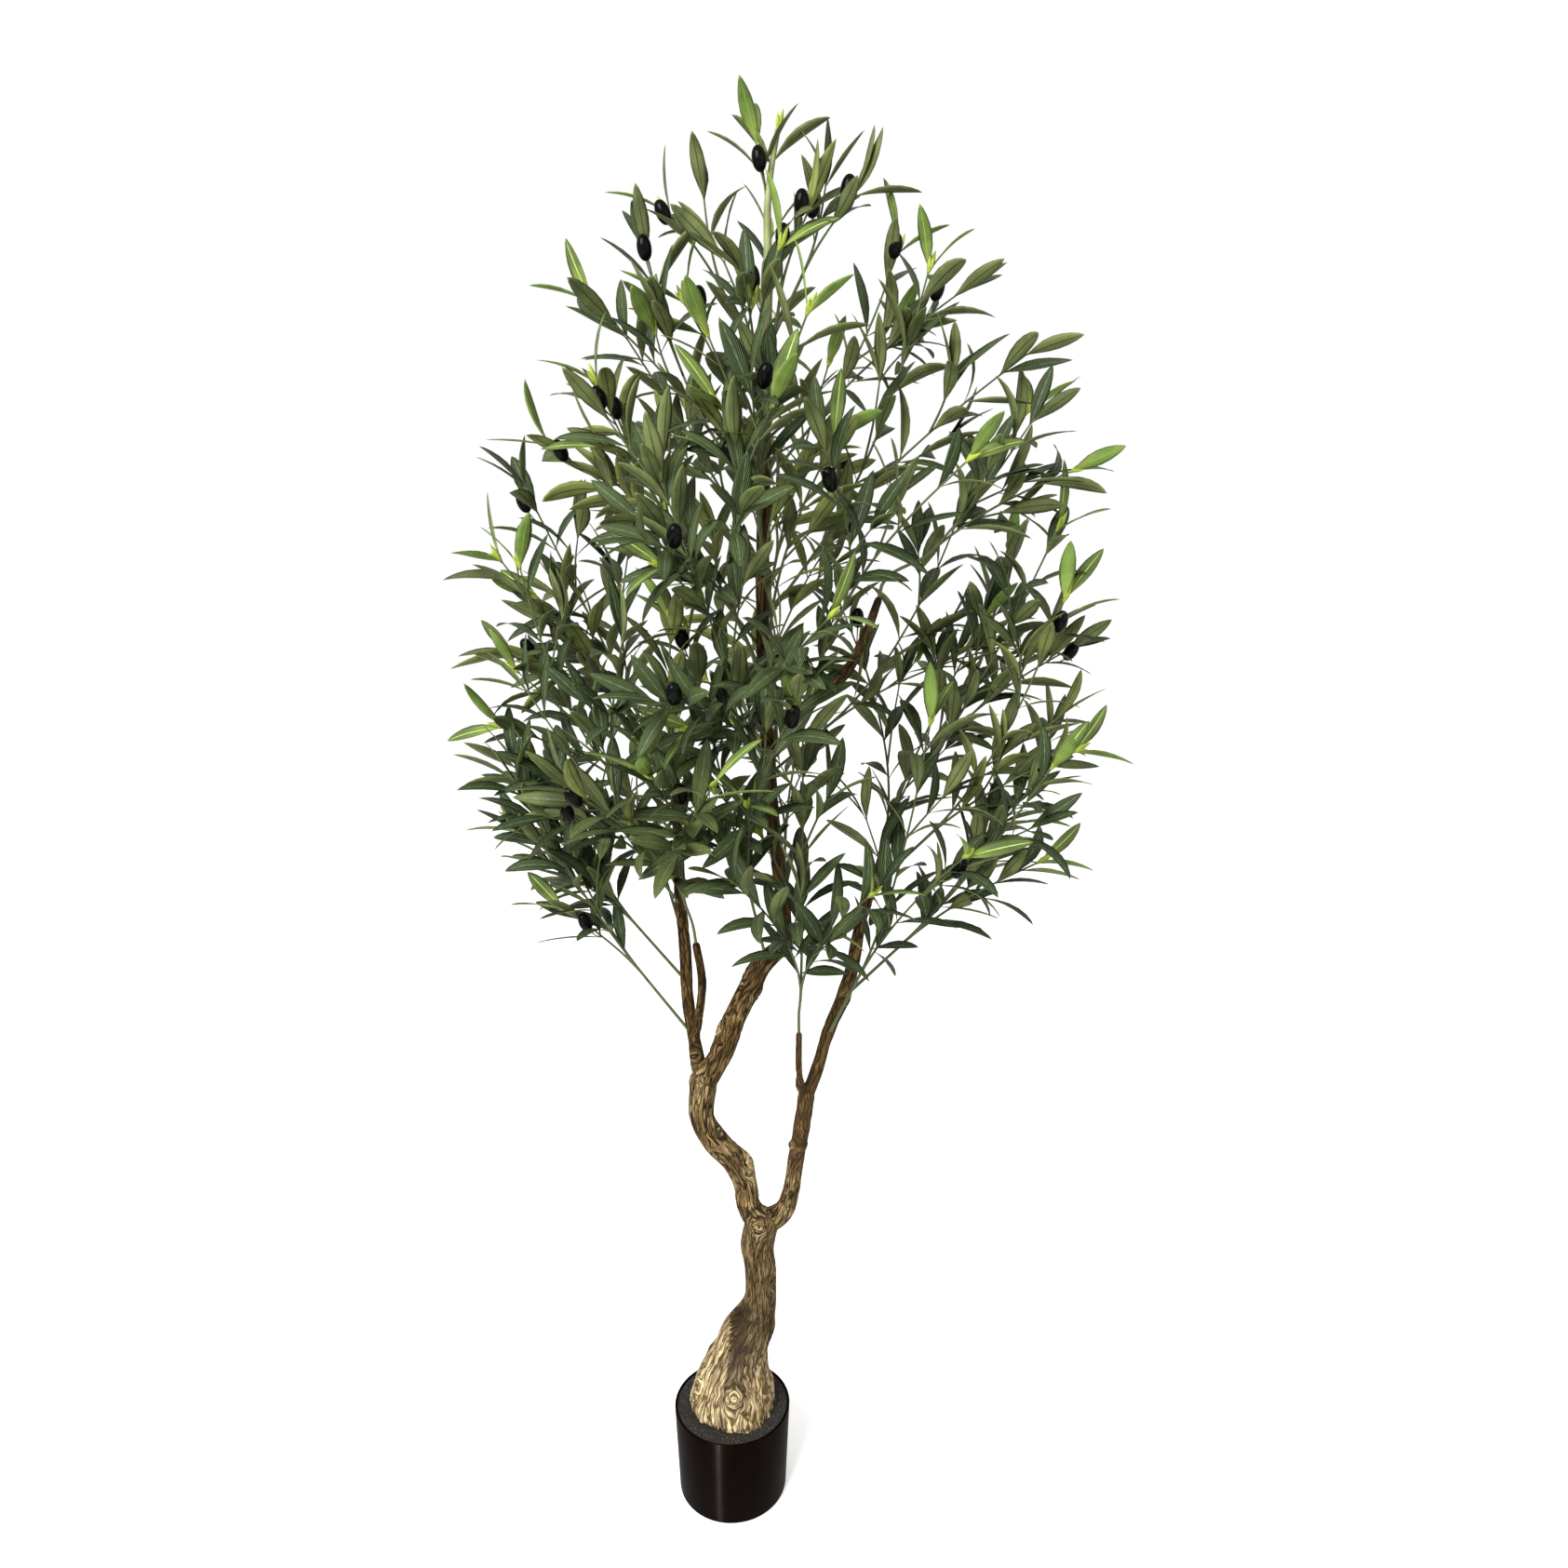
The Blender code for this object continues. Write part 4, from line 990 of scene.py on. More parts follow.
def nearest_limb(places, routes):
    """For each point: its nearest limb, and where it lies round and along that limb.

    The place round a limb is taken at the limb's mean radius, so that the grain follows a flare.
    """
    names = list(routes)
    centres = np.vstack([routes[name].points for name in names])
    headings = np.vstack([routes[name].headings for name in names])
    sides = np.vstack([routes[name].sides for name in names])
    far = np.concatenate([routes[name].far for name in names])
    limb = np.concatenate([np.full(len(routes[name].far), i) for i, name in enumerate(names)])
    mean = np.array([0.5 * (routes[name].points[0, 3] + routes[name].points[-1, 3])
                     for name in names])
    best = np.zeros(len(places), dtype=int)
    for start in range(0, len(places), BLOCK):
        block = places[start:start + BLOCK]
        gaps = np.linalg.norm(block[:, None] - centres[None, :, :3], axis=2) - centres[None, :, 3]
        best[start:start + BLOCK] = gaps.argmin(axis=1)
    offset = places - centres[best, :3]
    across = np.cross(headings, sides)
    along = far[best] + np.sum(offset * headings[best], axis=1)
    around = np.stack([np.sum(offset * sides[best], axis=1),
                       np.sum(offset * across[best], axis=1)], axis=1)
    around *= (mean[limb[best]] / np.maximum(np.linalg.norm(around, axis=1), MM))[:, None]
    grain = np.column_stack([around, along + GRAIN_SHIFT * limb[best]])
    return names, limb[best], grain, along, centres[best, 3]


def bark_depth(grain, place, radius):
    """How deep cracks and pits cut in at a point, how far it swells, and how much painted shade
    darkens it.
    """
    wander = WANDER * noise.noise(place / WANDER_SPAN)
    x, y = grain.x + wander, grain.y - wander
    ridge = noise.noise(Vector((x / CRACK_WIDTH, y / CRACK_WIDTH, grain.z / CRACK_LENGTH)))
    crack = max(0.0, 1.0 - abs(ridge) * CRACK_SHARPNESS)
    pit = noise.noise(Vector((x / PIT_WIDTH, y / PIT_WIDTH, grain.z / PIT_LENGTH)))
    pit = min(1.0, max(0.0, pit * PIT_SHARPNESS))
    swell = noise.noise(place / SWELLING) * SWELLING_SHARE * radius
    cut = min(1.0, THIN_RELIEF + radius / RELIEF_RADIUS) * (crack * CRACK_DEPTH + pit * PIT_DEPTH)
    # The second value is painted shade in the cracks and pits.
    return swell - cut, min(1.0, CRACK_SHADE * crack + PIT_SHADE * pit)


def foot_depth(place):
    """The foot's fold, lip, ringed knot, hollowed flank and chips: a height, and how much painted
    shade darkens it.
    """
    height, dark = 0.0, 0.0
    share = (place.z - LIP_LOW[1]) / (LIP_TOP[1] - LIP_LOW[1])
    below, above = share - FOLD_ENDS[0], FOLD_ENDS[1] - share
    if place.y < 0.0 and min(below, above) > 0.0:
        fade = min(1.0, below / FOLD_FADES[0]) * min(1.0, above / FOLD_FADES[1])
        beyond = place.x - (LIP_LOW[0] + (LIP_TOP[0] - LIP_LOW[0]) * share)
        if 0.0 < beyond < FOLD_WIDTH:
            cut = min(1.0, beyond / FOLD_EDGE) * (1.0 - beyond / FOLD_WIDTH) * fade
            height -= FOLD_DEPTH * cut
            crease = fade * math.exp(-beyond / CREASE)
            # Painted shade in the fold's hollow and in the crease under the lip.
            dark += FOLD_SHADE * cut ** FOLD_SOFTNESS + CREASE_SHADE * crease
        elif beyond <= 0.0:
            height += LIP_HEIGHT * fade * math.exp(beyond / LIP_SPAN)
    away = (place - Vector(RINGED_KNOT)).length
    away *= 1.0 + KNOT_UNEVEN * noise.noise(place / KNOT_LUMP)
    if away < RINGED_REACH:
        ring = math.exp(-((away - KNOT_RING) / KNOT_GROOVE_WIDTH) ** 2)
        height += RINGED_HEIGHT * math.exp(-(away / RINGED_SPAN) ** 4) - KNOT_GROOVE * ring
        # Painted shade in the knot's ring groove and its eye.
        dark += RING_SHADE * ring + EYE_SHADE * math.exp(-(away / EYE) ** 2)
    if place.x < FLANK_SIDE:
        height -= FLANK_DEPTH * math.exp(-((place.z - FLANK_HEIGHT) / FLANK_SPAN) ** 2)
    if place.z < CHIP_TOP:
        distances, seeds = noise.voronoi(place / CHIP)
        plate = noise.cell(seeds[0] * CHIP_SEED)
        groove = max(0.0, 1.0 - (distances[1] - distances[0]) * CHIP_SHARPNESS)
        edge = min(1.0, (CHIP_TOP - place.z) / CHIP_FADE)
        height += CHIP_HEIGHT * edge * (plate - CHIP_GROOVE * groove)
        # Painted shade in the grooves between the chips.
        dark += CHIP_SHADE * groove * edge
    return height, dark


def bend_grain(places, routes):
    """The grain at each point, led round every knot, with rings inside the knot."""
    flowing = places.copy()
    rings = np.zeros(len(places))
    lumps = np.array([noise.noise(Vector(place) / KNOT_LUMP) for place in places])
    for x, y, z, across in [knot[:4] for knot in KNOTS] + [(*RINGED_KNOT, KNOT_RING)]:
        gap = places - np.array([x, y, z])
        far = np.linalg.norm(gap, axis=1) * (1.0 + KNOT_UNEVEN * lumps)
        share = np.minimum(1.0, (across / np.maximum(far, MM)) ** 2)
        share *= np.clip(1.0 - (far / across - 1.0) / KNOT_WAKE, 0.0, 1.0)
        flowing[:, :2] -= gap[:, :2] * share[:, None]
        rings += RING_STRETCH * np.maximum(0.0, across - far)
    names, limb, grain, along, radius = nearest_limb(flowing, routes)
    grain[:, 2] += rings
    return names, limb, grain, along, radius


def carve_bark(mesh, routes):
    """Carve the relief, and store the bark's grain, painted shade in its cracks and grooves, paleness
    with painted highlights on knots, redness and greenness.
    """
    count = len(mesh.vertices)
    places, normals = np.zeros((2, count * 3))
    mesh.vertices.foreach_get("co", places)
    mesh.vertices.foreach_get("normal", normals)
    places, normals = places.reshape(-1, 3), normals.reshape(-1, 3)
    names, limb, grain, along, radius = bend_grain(places, routes)
    height, dark, pale, red = np.zeros((4, count))
    for i in range(count):
        place = Vector(places[i])
        height[i], dark[i] = bark_depth(Vector(grain[i]), place, radius[i])
        name = names[limb[i]]
        pale[i] = PALENESS.get(name, HIDDEN_PALENESS)
        if name == "trunk" and place.z < FOOT_TOP:
            lifted, shadow = foot_depth(place)
            height[i] += lifted
            dark[i] += shadow
            top = LEFT_SHOULDER if place.x < 0.0 else RIGHT_SHOULDER
            pale[i] += FOOT_PALENESS * min(1.0, max(0.0, (top - place.z) / SHOULDER_FADE))
        if name == "right_limb":
            red[i] = min(1.0, max(0.0, (along[i] - RED_FROM) / RED_FADE))
            pale[i] -= RED_SHADE * red[i]
        elif name in ("right_spur", "right_bough"):
            red[i] = max(0.0, 1.0 - along[i] / RED_RUN)
    for x, y, z, across, reach, lump in KNOTS:
        gap = ((places[:, 0] - x) ** 2 + (places[:, 1] - y) ** 2) / across ** 2
        knot = np.exp(-gap - ((places[:, 2] - z) / reach) ** 2)
        height += lump * knot
        # Painted highlight: each knot is painted paler the higher it stands.
        pale += KNOT_HIGHLIGHT * lump * knot
    places += normals * np.clip(height, DEEPEST, HIGHEST)[:, None]
    mesh.vertices.foreach_set("co", places.ravel())
    mesh.update()
    green = np.clip((places[:, 2] - GREEN_FROM) / GREEN_FADE, 0.0, GREENEST)
    # The stored crack shade is painted shade in cracks, pits and the foot's grooves.
    floats = {"hollow": np.clip(dark, 0.0, 1.0), "paleness": pale, "redness": red, "greenness": green}
    for name, values in floats.items():
        layer = mesh.attributes.new(name, "FLOAT", "POINT")
        layer.data.foreach_set("value", values.astype(np.float32))
    layer = mesh.attributes.new("grain", "FLOAT_VECTOR", "POINT")
    layer.data.foreach_set("vector", grain.astype(np.float32).ravel())


def plastic_material(settings):
    """Polypropylene, injection moulded and glossy: a near-black brown with soft reflections."""
    look, tree, shader, place = new_material("gloss_moulded_plastic", 0.34, Specular_IOR_Level=0.014,
                                             Anisotropic=1.0, Anisotropic_Rotation=0.25,
                                             Specular_Tint=(1.0, 0.78, 0.72, 1.0))
    cloud = add_node(tree, "TexNoise", {"Scale": pattern(26.3), "Detail": 3.0}, {"Vector": place})
    tone = add_node(tree, "ValToRGB", None, {"Fac": cloud},
                    [(0.35, settings.plastic), (0.70, "#090302")])
    ripple = add_node(tree, "TexNoise", {"Scale": pattern(18.2), "Detail": 1.0}, {"Vector": place})
    bump = add_node(tree, "Bump", {"Strength": 0.10, "Distance": 0.2 * MM}, {"Height": ripple})
    link(tree, shader, {"Base Color": tone, "Normal": bump})
    return look


def foam_material(settings):
    """Expanded foam painted charcoal: matt and open grained, with rare paler grains."""
    look, tree, shader, place = new_material("charcoal_foam", 0.92, Specular_IOR_Level=0.05)
    grain = add_node(tree, "TexVoronoi", {"Scale": pattern(0.9)}, {"Vector": place})
    tone = add_node(tree, "ValToRGB", None, {"Fac": grain.outputs["Color"]},
                    [(0.00, tuple(0.7 * value for value in settings.foam)), (0.60, settings.foam),
                     (0.80, settings.foam), (0.94, settings.grit)])
    bump = add_node(tree, "Bump", {"Strength": 0.5, "Distance": 0.4 * MM}, {"Height": grain})
    link(tree, shader, {"Base Color": tone, "Normal": bump})
    return look


def bark_material(settings):
    """Polyurethane moulded from real bark and brushed with washes: matt tan crests, with painted
    shade darkening the cracks and the low parts of the fine relief.

    The fine lines are drawn 2 mm wide along each limb, and the ridges between cracks 5 mm, a
    little coarser than the mould's grain, so that they show.
    """
    look, tree, shader, place = new_material("moulded_bark", 0.75, Specular_IOR_Level=0.07)
    grain, pale, red, hollow, green = [
        add_node(tree, "Attribute", attribute_name=name)
        for name in ("grain", "paleness", "redness", "hollow", "greenness")]
    drift = add_node(tree, "TexNoise", {"Scale": pattern(26.0), "Detail": 2.0}, {"Vector": place})
    sway = add_node(tree, "VectorMath", {"Scale": 9.0 * MM}, {0: drift.outputs["Color"]},
                    operation="SCALE")
    bent = add_node(tree, "VectorMath", None, {0: grain.outputs["Vector"], 1: sway}, operation="ADD")
    brushing, netted, drawn = [
        add_node(tree, "Mapping", {"Scale": (1.0, 1.0, stretch)}, {"Vector": bent})
        for stretch in (WASH_STRETCH, NET_STRETCH, LINE_STRETCH)]
    streak = add_node(tree, "TexNoise", {"Scale": pattern(2.0), "Detail": 5.0, "Roughness": 0.60},
                      {"Vector": drawn})
    line = add_node(tree, "MapRange", {"From Min": 0.40, "From Max": 0.56}, {"Value": streak})
    net = add_node(tree, "TexVoronoi", {"Scale": pattern(5.0)}, {"Vector": netted},
                   feature="DISTANCE_TO_EDGE")
    plate = add_node(tree, "MapRange", {"From Min": 0.02, "From Max": 0.13}, {"Value": net})
    raised = add_node(tree, "Math", None, {0: line, 1: plate}, operation="MULTIPLY")
    blotch = add_node(tree, "TexNoise", {"Scale": pattern(11.0), "Detail": 5.0, "Roughness": 0.60},
                      {"Vector": brushing})
    wash = add_node(tree, "MapRange", {"From Min": 0.3, "From Max": 0.7, "To Min": -0.26,
                                       "To Max": 0.26}, {"Value": blotch})
    tone = add_node(tree, "Math", None, {0: pale.outputs["Fac"], 1: wash}, operation="ADD")
    crest = add_node(tree, "ValToRGB", None, {"Fac": tone},
                     [(0.00, "#3c2c13"), (0.25, "#5a4523"), (0.50, "#7e6a46"), (1.00, "#bca982")])
    # Painted shade: the low parts of the fine lines and of the cracks' net take this darker tone.
    recess_shade = add_node(tree, "ValToRGB", None, {"Fac": tone},
                      [(0.00, "#0e0902"), (0.50, "#170f03"), (1.00, "#473414")])
    paint = add_node(tree, "Mix", None, {0: raised, 6: recess_shade, 7: crest}, data_type="RGBA")
    # The second mix lays the crevice colour as painted shade in the cracks and grooves.
    for stain, strength, colour in ((red, 0.42, "#3a2a19"), (hollow, 0.85, settings.crevice_shade),
                                    (green, 1.0, "#5c6440")):
        share = add_node(tree, "Math", {1: strength}, {0: stain.outputs["Fac"]}, operation="MULTIPLY")
        paint = add_node(tree, "Mix", {7: shade(colour)}, {0: share, 6: paint.outputs[2]},
                         data_type="RGBA")
    relief = add_node(tree, "Math", None, {0: streak, 1: plate}, operation="MULTIPLY")
    bump = add_node(tree, "Bump", {"Strength": 0.9, "Distance": 1.2 * MM}, {"Height": relief})
    link(tree, shader, {"Base Color": paint.outputs[2], "Normal": bump})
    return look


def leaf_face_material(name, colour, pale, roughness, vein_strength, flush=None):
    """Polyester cloth, heat pressed and printed: a satin green with fine slanted veins.

    A flush is the paler colour that the print starts from at the leaf's root.
    """
    look, tree, shader, place = new_material(name, roughness, Specular_IOR_Level=0.06)
    blade = add_node(tree, "UVMap", uv_map="blade")
    ways = add_node(tree, "SeparateXYZ", None, {"Vector": blade})
    middle = add_node(tree, "Math", {1: 0.5}, {0: ways.outputs["X"]}, operation="SUBTRACT")
    outwards = add_node(tree, "Math", None, {0: middle}, operation="ABSOLUTE")
    slanted = add_node(tree, "Math", {1: -0.55}, {0: ways.outputs["Y"]}, operation="MULTIPLY")
    run = add_node(tree, "Math", None, {0: outwards, 1: slanted}, operation="ADD")
    lines = add_node(tree, "Math", {1: 70.0}, {0: run}, operation="MULTIPLY")
    wave = add_node(tree, "Math", None, {0: lines}, operation="SINE")
    vein = add_node(tree, "MapRange", {"From Min": 0.55, "From Max": 1.0, "To Max": vein_strength},
                    {"Value": wave})
    mottle = add_node(tree, "TexNoise", {"Scale": pattern(35.7), "Detail": 5.0}, {"Vector": place})
    value = add_node(tree, "MapRange", {"From Min": 0.35, "From Max": 0.65, "To Min": 0.66,
                                        "To Max": 1.40}, {"Value": mottle})
    grow = add_node(tree, "ValToRGB", None, {"Fac": ways.outputs["Y"]},
                    [(0.04, flush or colour), (0.55, colour)])
    base = add_node(tree, "HueSaturation", None, {"Color": grow, "Value": value})
    veined = add_node(tree, "Mix", {7: shade(pale)}, {0: vein, 6: base}, data_type="RGBA")
    bump = add_node(tree, "Bump", {"Strength": 0.4 * vein_strength, "Distance": 0.2 * MM},
                    {"Height": wave})
    link(tree, shader, {"Base Color": veined.outputs[2], "Normal": bump})
    return look


def plain_material(name, colour, roughness, size, spread=0.12, **plain):
    """A finish whose colour wanders a little, in patches of a size in millimetres."""
    look, tree, shader, place = new_material(name, roughness, **plain)
    mottle = add_node(tree, "TexNoise", {"Scale": pattern(size), "Detail": 3.0}, {"Vector": place})
    value = add_node(tree, "MapRange", {"From Min": 0.35, "From Max": 0.65, "To Min": 1.0 - spread,
                                        "To Max": 1.0 + spread}, {"Value": mottle})
    base = add_node(tree, "HueSaturation", {"Color": shade(colour)}, {"Value": value})
    link(tree, shader, {"Base Color": base})
    return look


def leaf_materials(s):
    """Upper face, underside and both midribs of each kind of leaf, in slot order."""
    kinds = (("deep", s.deep, s.vein, s.under, None),
             ("green", s.green, s.vein, s.under, None),
             ("olive", s.olive, s.vein, s.under_warm, None),
             ("young", s.lime, "#82965a", "#52652f", "#626f33"))
    looks = []
    for name, upper, vein, under, flush in kinds:
        if flush:
            gloss, matt, strength, under_vein = 0.50, 0.60, 0.30, "#8c9862"
            midrib, under_midrib = "#86a048", "#5f7a2c"
        else:
            gloss, matt, strength, under_vein = 0.48, 0.62, 0.62, "#828b62"
            midrib, under_midrib = "#44523a", "#262e14"
        looks += [
            leaf_face_material(f"pressed_cloth_{name}", upper, vein, gloss, strength, flush),
            leaf_face_material(f"pressed_cloth_under_{name}", under, under_vein, matt, 0.10, flush),
            plain_material(f"midrib_{name}", midrib, 0.5, 16.67),
            plain_material(f"midrib_under_{name}", under_midrib, 0.6, 16.67)]
    return looks


def stand(context, name, data, place, turn):
    """Link a light or camera to the scene at a place and turn."""
    made = bpy.data.objects.new(name, data)
    made.location = place
    made.rotation_euler = turn
    context.scene.collection.objects.link(made)
    return made


def tapered_cylinder(name, sides, low, high, foot_radius, rim_radius):
    """A closed cylinder from a low to a high level that widens from its foot to its rim."""
    deselect_all()
    middle = low + 0.5 * (high - low)
    bpy.ops.mesh.primitive_cylinder_add(vertices=sides, radius=foot_radius, depth=high - low,
                                        end_fill_type="NGON", location=(0.0, 0.0, middle))
    piece = named(name)
    bpy.ops.object.transform_apply(location=True, rotation=True, scale=True)
    flare = rim_radius / foot_radius
    edit("VERT", lambda mesh, vertex: vertex.co.z > middle)
    bpy.ops.transform.resize(value=(flare, flare, 1.0), center_override=(0.0, 0.0, high))
    return piece


class OLIVE_TREE_OT_stage(bpy.types.Operator):
    """Lay the pale floor and set the studio lights and the camera"""

    bl_idname = "olive_tree.stage"
    bl_label = "Lay the studio"

    def execute(self, context):
        s = context.scene.olive_studio
        deselect_all()
        bpy.ops.mesh.primitive_plane_add(size=FLOOR_SIZE, location=(0.0, 0.0, 0.0))
        floor = named("studio_floor")
        look = plain_material("painted_floor", s.floor, 0.85, 1250.0, 0.01, Emission_Color=WHITE,
                              Emission_Strength=s.glow)
        floor.data.materials.append(look)
        world = bpy.data.worlds.new("even_sky")
        world.use_nodes = True
        sky = world.node_tree.nodes["Background"]
        sky.inputs["Color"].default_value = WHITE
        sky.inputs["Strength"].default_value = s.sky
        context.scene.world = world
        watts = {"key_light": s.key, "fill_light": s.fill, "strip_light": s.strip}
        for name, place, aim, size in LIGHTS:
            data = bpy.data.lights.new(name, "AREA")
            data.shape = "RECTANGLE"
            data.size, data.size_y = size
            data.energy = watts[name]
            turn = (Vector(aim) - Vector(place)).to_track_quat("-Z", "Y").to_euler()
            lamp = stand(context, name, data, place, turn)
            if name == "strip_light":
                data.spread = math.radians(STRIP_SPREAD)
                lamp.visible_diffuse = False
        data = bpy.data.cameras.new("photo_camera")
        data.lens = LENS
        data.sensor_width = SENSOR
        data.clip_start, data.clip_end = CAMERA_CLIP
        turn = (math.radians(CAMERA_TILT), 0.0, 0.0)
        context.scene.camera = stand(context, "photo_camera", data, CAMERA_PLACE, turn)
        context.scene.view_settings.view_transform = "Standard"
        return {"FINISHED"}


class OLIVE_TREE_OT_planter(bpy.types.Operator):
    """Mould the tapering planter with its rounded rim and foot"""

    bl_idname = "olive_tree.planter"
    bl_label = "Mould the planter"

    def execute(self, context):
        s = context.scene.olive_planter
        pot = tapered_cylinder("moulded_planter", POT_SIDES, 0.0, POT_HEIGHT, s.foot_radius,
                               POT_RIM_RADIUS)
        edit("FACE", lambda mesh, face: face.normal.z > 0.9)
        bpy.ops.mesh.inset(thickness=s.wall)
        bpy.ops.mesh.extrude_region_move(
            TRANSFORM_OT_translate={"value": (0, 0, POT_FLOOR - POT_HEIGHT)})
        inner = (s.foot_radius - s.wall) / (POT_RIM_RADIUS - s.wall)
        bpy.ops.transform.resize(value=(inner, inner, 1.0), center_override=(0.0, 0.0, POT_FLOOR))
        for level, rounding in ((POT_HEIGHT, 0.46 * s.wall), (0.0, s.foot_edge)):
            edit("EDGE", lambda mesh, edge: all(abs(mesh.vertices[i].co.z - level) < 1e-5
                                                for i in edge.vertices))
            bpy.ops.mesh.bevel(offset=rounding, segments=POT_EDGE_ROWS, affect="EDGES")
        edit("FACE", lambda mesh, face: (face.normal.z < -0.99 and face.center.z < 1e-4
                                         and len(face.vertices) > 8))
        bpy.ops.mesh.inset(thickness=POT_FOOT_INSET)
        bpy.ops.transform.translate(value=(0.0, 0.0, POT_FOOT_HOLLOW))
        bpy.ops.object.mode_set(mode="OBJECT")
        pot.data.materials.append(plastic_material(s))
        bpy.ops.object.shade_smooth_by_angle(angle=math.radians(40.0))
        settle(pot, "planter", "pot")
        return {"FINISHED"}


class OLIVE_TREE_OT_fill(bpy.types.Operator):
    """Pour the foam fill, with a grainy top just under the rim"""

    bl_idname = "olive_tree.fill"
    bl_label = "Pour the fill"

    def execute(self, context):
        s = context.scene.olive_planter
        low, high = FILL_BOX
        fill = tapered_cylinder("foam_fill", FILL_SIDES, low.z, high.z,
                                s.foot_radius - s.wall - FILL_GAP, high.x)
        edit("FACE", lambda mesh, face: face.normal.z > 0.9)
        for _ in range(FILL_RINGS):
            bpy.ops.mesh.inset(thickness=FILL_RING * MM)
        bpy.ops.object.mode_set(mode="OBJECT")
        grit = random.Random(3)
        for vertex in fill.data.vertices:
            if vertex.co.z > high.z - 1e-4 and vertex.co.xy.length < high.x - 0.5 * MM:
                vertex.co.z -= grit.uniform(0.0, FILL_GRIT) * MM
        fill.data.materials.append(foam_material(s))
        bpy.ops.object.shade_smooth_by_angle(angle=math.radians(50.0))
        settle(fill, "fill", "fill")
        return {"FINISHED"}


class OLIVE_TREE_OT_bark(bpy.types.Operator):
    """Mould the trunk, limbs and boughs with the bark's relief"""

    bl_idname = "olive_tree.bark"
    bl_label = "Mould the bark"

    def execute(self, context):
        s = context.scene.olive_bark
        routes = limb_routes()
        look = bark_material(s)
        upper = [name for name in ROUTES if name not in LOWER_LIMBS]
        for name, limbs in (("trunk_bark", LOWER_LIMBS), ("bough_bark", upper)):
            piece = bark_piece(name, limbs, routes, look, s.voxel)
            settle(piece, "bark", *limbs)
        return {"FINISHED"}


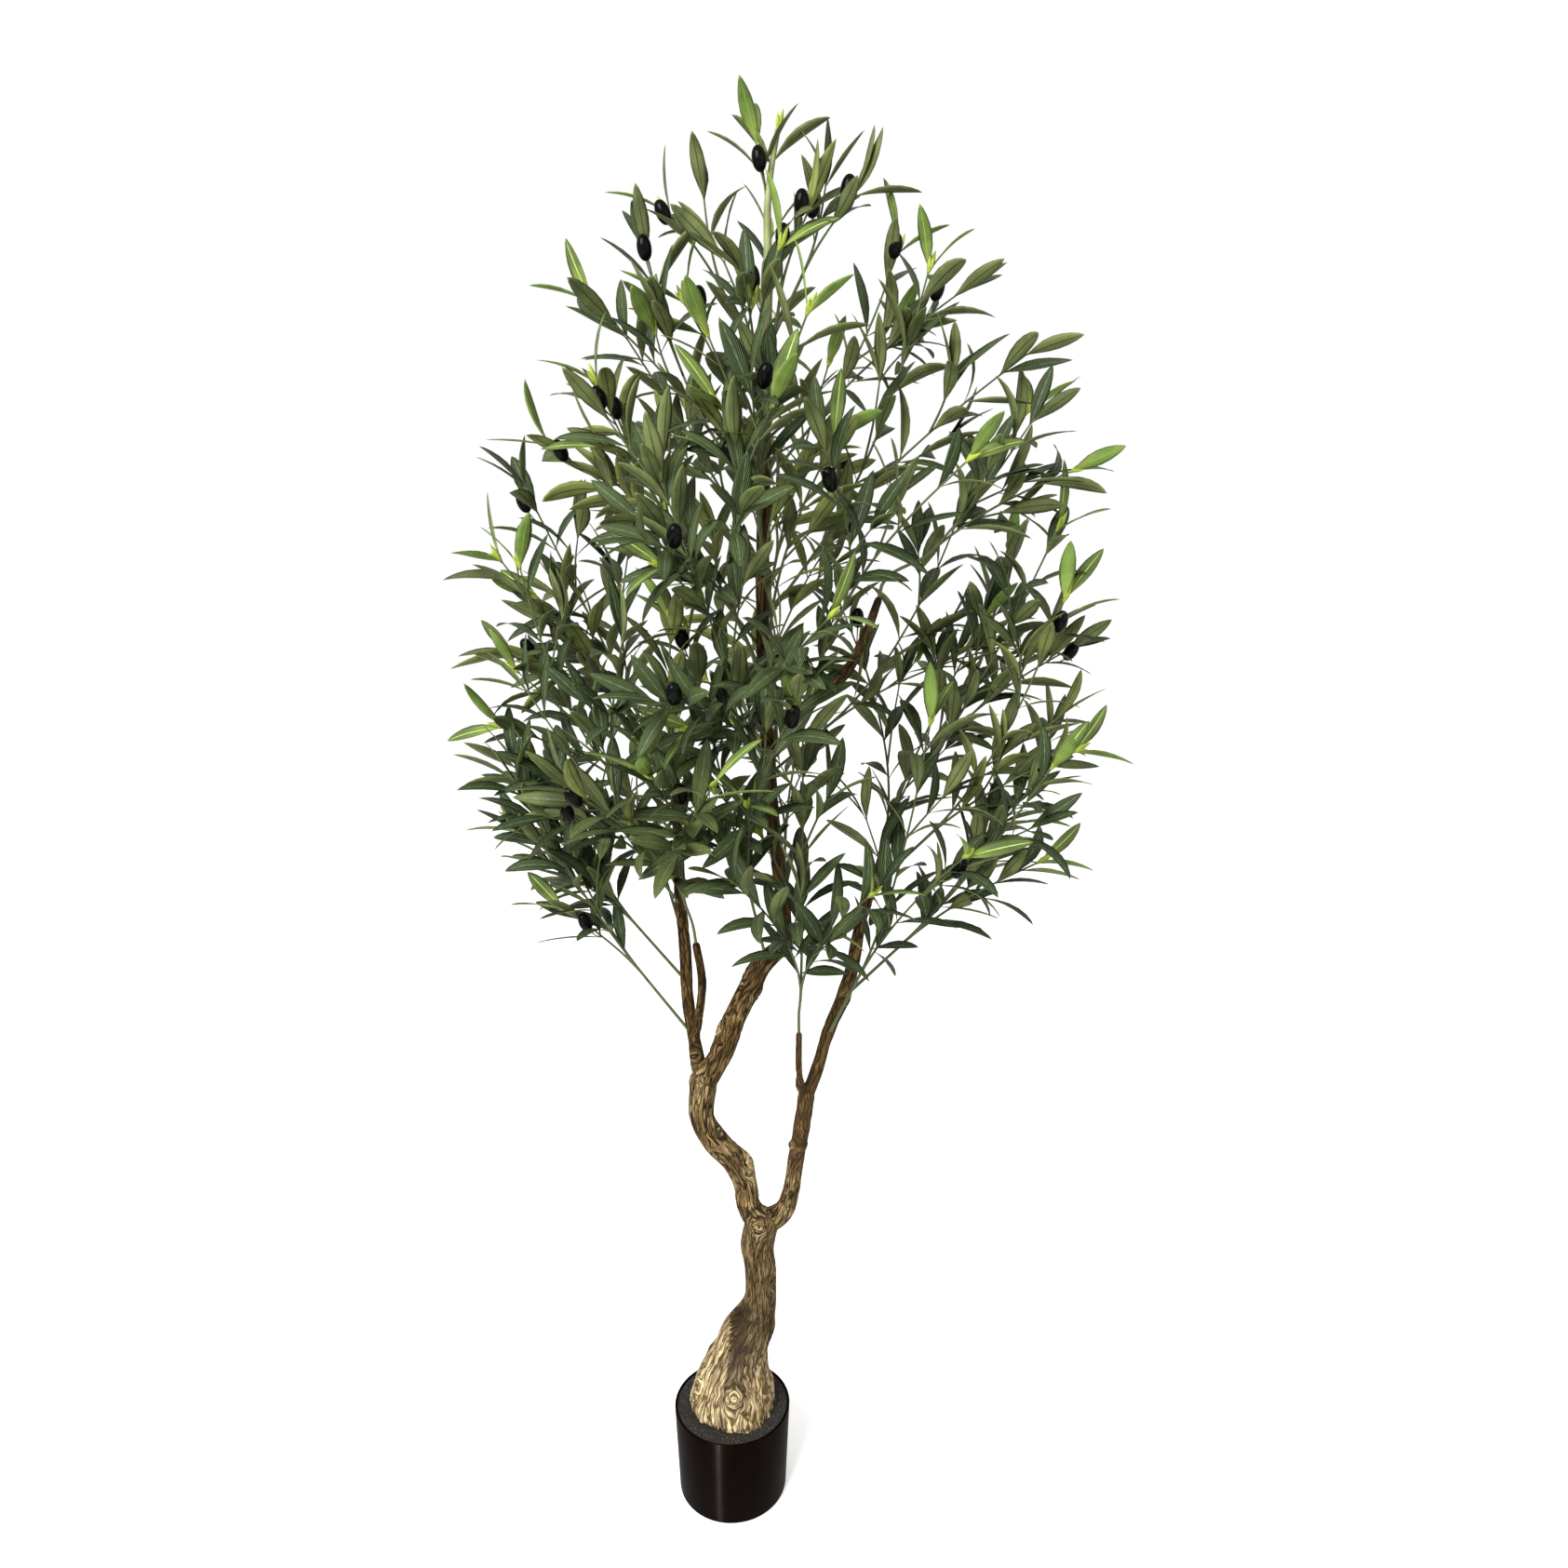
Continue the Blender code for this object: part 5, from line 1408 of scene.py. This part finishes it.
class OLIVE_TREE_OT_foliage(bpy.types.Operator):
    """Grow the stems, leaves, young tips and olives of every spray"""

    bl_idname = "olive_tree.foliage"
    bl_label = "Grow the foliage"

    def execute(self, context):
        s = context.scene.olive_foliage
        routes = limb_routes()
        sprays = [Spray(row, routes, s.seed) for row in SPRAYS]
        names = [spray.name for spray in sprays]
        leaves, buds = grow_leaves(sprays, s, limb_points(routes))
        self.make_stems(sprays, names, s)
        looks = leaf_materials(s)
        bands = {"leaves_low": [], "leaves_middle": [], "leaves_high": []}
        for spray in sprays:
            foot = spray.seat.z
            band = "low" if foot < LOW_TOP else "middle" if foot < MIDDLE_TOP else "high"
            bands[f"leaves_{band}"].append(spray.name)
        for band, chosen in bands.items():
            grown = [leaf for name in chosen for leaf in leaves[name]]
            points, corners, sizes, slots, blade = blade_arrays(grown, s.leaf_thickness)
            piece = solid_from_arrays(band, points, corners, sizes, slots, looks, blade)
            settle(piece, "foliage", *chosen)
        self.make_buds(buds, names, s)
        self.make_olives(sprays, names, s)
        return {"FINISHED"}

    def make_stems(self, sprays, names, s):
        """The stem, shoots and side twigs of every spray, with the leader's paler green tip."""
        parts, slots = [], []
        for spray in sprays:
            for stem in spray.shoots + spray.twigs:
                parts.append(ring_tube(stem.points[:, :3], stem.points[:, 3], stem.headings,
                                       stem.sides, STEM_SIDES))
                slots.append(spray.name == LEADING_SPRAY and stem is spray.shoots[0])
        looks = [plain_material("moulded_green_stem", s.stem, 0.5, 33.33),
                 plain_material("moulded_leader_tip", s.leader, 0.5, 33.33, 0.25)]
        self.settle_parts("green_stems", parts, slots, looks, names)

    def make_buds(self, buds, names, s):
        """Pointed buds of two parts between the young leaves."""
        parts = []
        for tip, heading in buds:
            side = heading.orthogonal().normalized()
            for scale, lean in BUD_PARTS:
                way = (heading + side * lean).normalized()
                parts.append(lathe(tip, way, BUD_OUTLINE, scale, BUD_SIDES))
        look = plain_material("moulded_bud", s.bud, 0.45, 8.333)
        self.settle_parts("buds", parts, [0] * len(parts), [look], names)

    def make_olives(self, sprays, names, s):
        """Olives that stand on thin curved stalks a little below the tips."""
        parts, slots = [], []
        turns = [math.pi * k / OLIVE_ROWS for k in range(OLIVE_ROWS + 1)]
        outline = [(-s.olive_half_length * math.cos(turn),
                    max(0.0002, s.olive_radius * math.sin(turn) ** OLIVE_BLUNTNESS))
                   for turn in turns]
        for spray in sprays:
            for number, shoot in enumerate(spray.shoots):
                if spray.rng.random() > (OLIVE_SHARE if number else FIRST_OLIVE_SHARE):
                    continue
                distance = shoot.length - spray.rng.uniform(*OLIVE_BELOW_TIP)
                place, _ = shoot.at(distance)
                heading = shoot.heading(distance)
                away = Vector((place.x - OLIVE_MIDDLE[0], place.y - OLIVE_MIDDLE[1], 0.0))
                side = (away - heading * away.dot(heading)).normalized()
                turn = spray.rng.uniform(-OLIVE_TURN, OLIVE_TURN)
                side = Matrix.Rotation(turn, 3, heading) @ side
                out = (side * STALK_LEAN + heading).normalized()
                bend = place + out * (STALK_BEND * STALK)
                rise = (out + UP * STALK_RISE).normalized()
                end = bend + rise * ((1.0 - STALK_BEND) * STALK)
                bends = [(*spot, thick) for spot, thick in zip((place, bend, end), STALK_RADII)]
                stalk = Route(bends, LIMB_PITCH)
                parts.append(ring_tube(stalk.points[:, :3], stalk.points[:, 3], stalk.headings,
                                       stalk.sides, STALK_SIDES))
                way = (out * OLIVE_LEAN + UP).normalized()
                middle = end + way * (OLIVE_SEAT * s.olive_half_length)
                parts.append(lathe(middle, way, outline, 1.0, OLIVE_SIDES))
                slots += [1, 0]
        looks = [plain_material("moulded_olive_skin", s.skin, 0.20, 11.11, Specular_IOR_Level=0.05),
                 plain_material("moulded_stalk", s.stem, 0.5, 16.67)]
        self.settle_parts("olives", parts, slots, looks, names)

    def settle_parts(self, name, parts, slots, looks, names):
        """Join parts into one piece, with a slot for each part, and settle it."""
        points, corners, sizes = joined(parts)
        dealt = np.repeat(slots, [len(part[2]) for part in parts])
        settle(solid_from_arrays(name, points, corners, sizes, dealt, looks), "foliage", *names)


class OLIVE_TREE_PT_panel(bpy.types.Panel):
    """Lists the tree's pieces and their settings"""

    bl_idname = "OLIVE_TREE_PT_panel"
    bl_label = "Potted Olive Tree"
    bl_space_type = "VIEW_3D"
    bl_region_type = "UI"
    bl_category = "Olive Tree"

    def draw(self, context):
        for operator in OPERATORS:
            self.layout.operator(operator.bl_idname)
        for group in SETTINGS:
            box = self.layout.box()
            settings = getattr(context.scene, group)
            for key in SETTINGS[group].__annotations__:
                box.prop(settings, key)


SETTINGS = {
    "olive_studio": StudioSettings,
    "olive_planter": PlanterSettings,
    "olive_bark": BarkSettings,
    "olive_foliage": FoliageSettings,
}
OPERATORS = (
    OLIVE_TREE_OT_stage,
    OLIVE_TREE_OT_planter,
    OLIVE_TREE_OT_fill,
    OLIVE_TREE_OT_bark,
    OLIVE_TREE_OT_foliage,
)


def register():
    """Register the add-on's classes and its settings."""
    for group in (*SETTINGS.values(), *OPERATORS, OLIVE_TREE_PT_panel):
        bpy.utils.register_class(group)
    for name, group in SETTINGS.items():
        setattr(bpy.types.Scene, name, PointerProperty(type=group))


def unregister():
    """Take the add-on's settings and classes out again."""
    for name in SETTINGS:
        delattr(bpy.types.Scene, name)
    for group in reversed((*SETTINGS.values(), *OPERATORS, OLIVE_TREE_PT_panel)):
        bpy.utils.unregister_class(group)


def main():
    """Register the add-on, then build the studio and every piece."""
    register()
    bpy.ops.olive_tree.stage()
    bpy.ops.olive_tree.planter()
    bpy.ops.olive_tree.fill()
    bpy.ops.olive_tree.bark()
    bpy.ops.olive_tree.foliage()


if __name__ == "__main__":
    main()
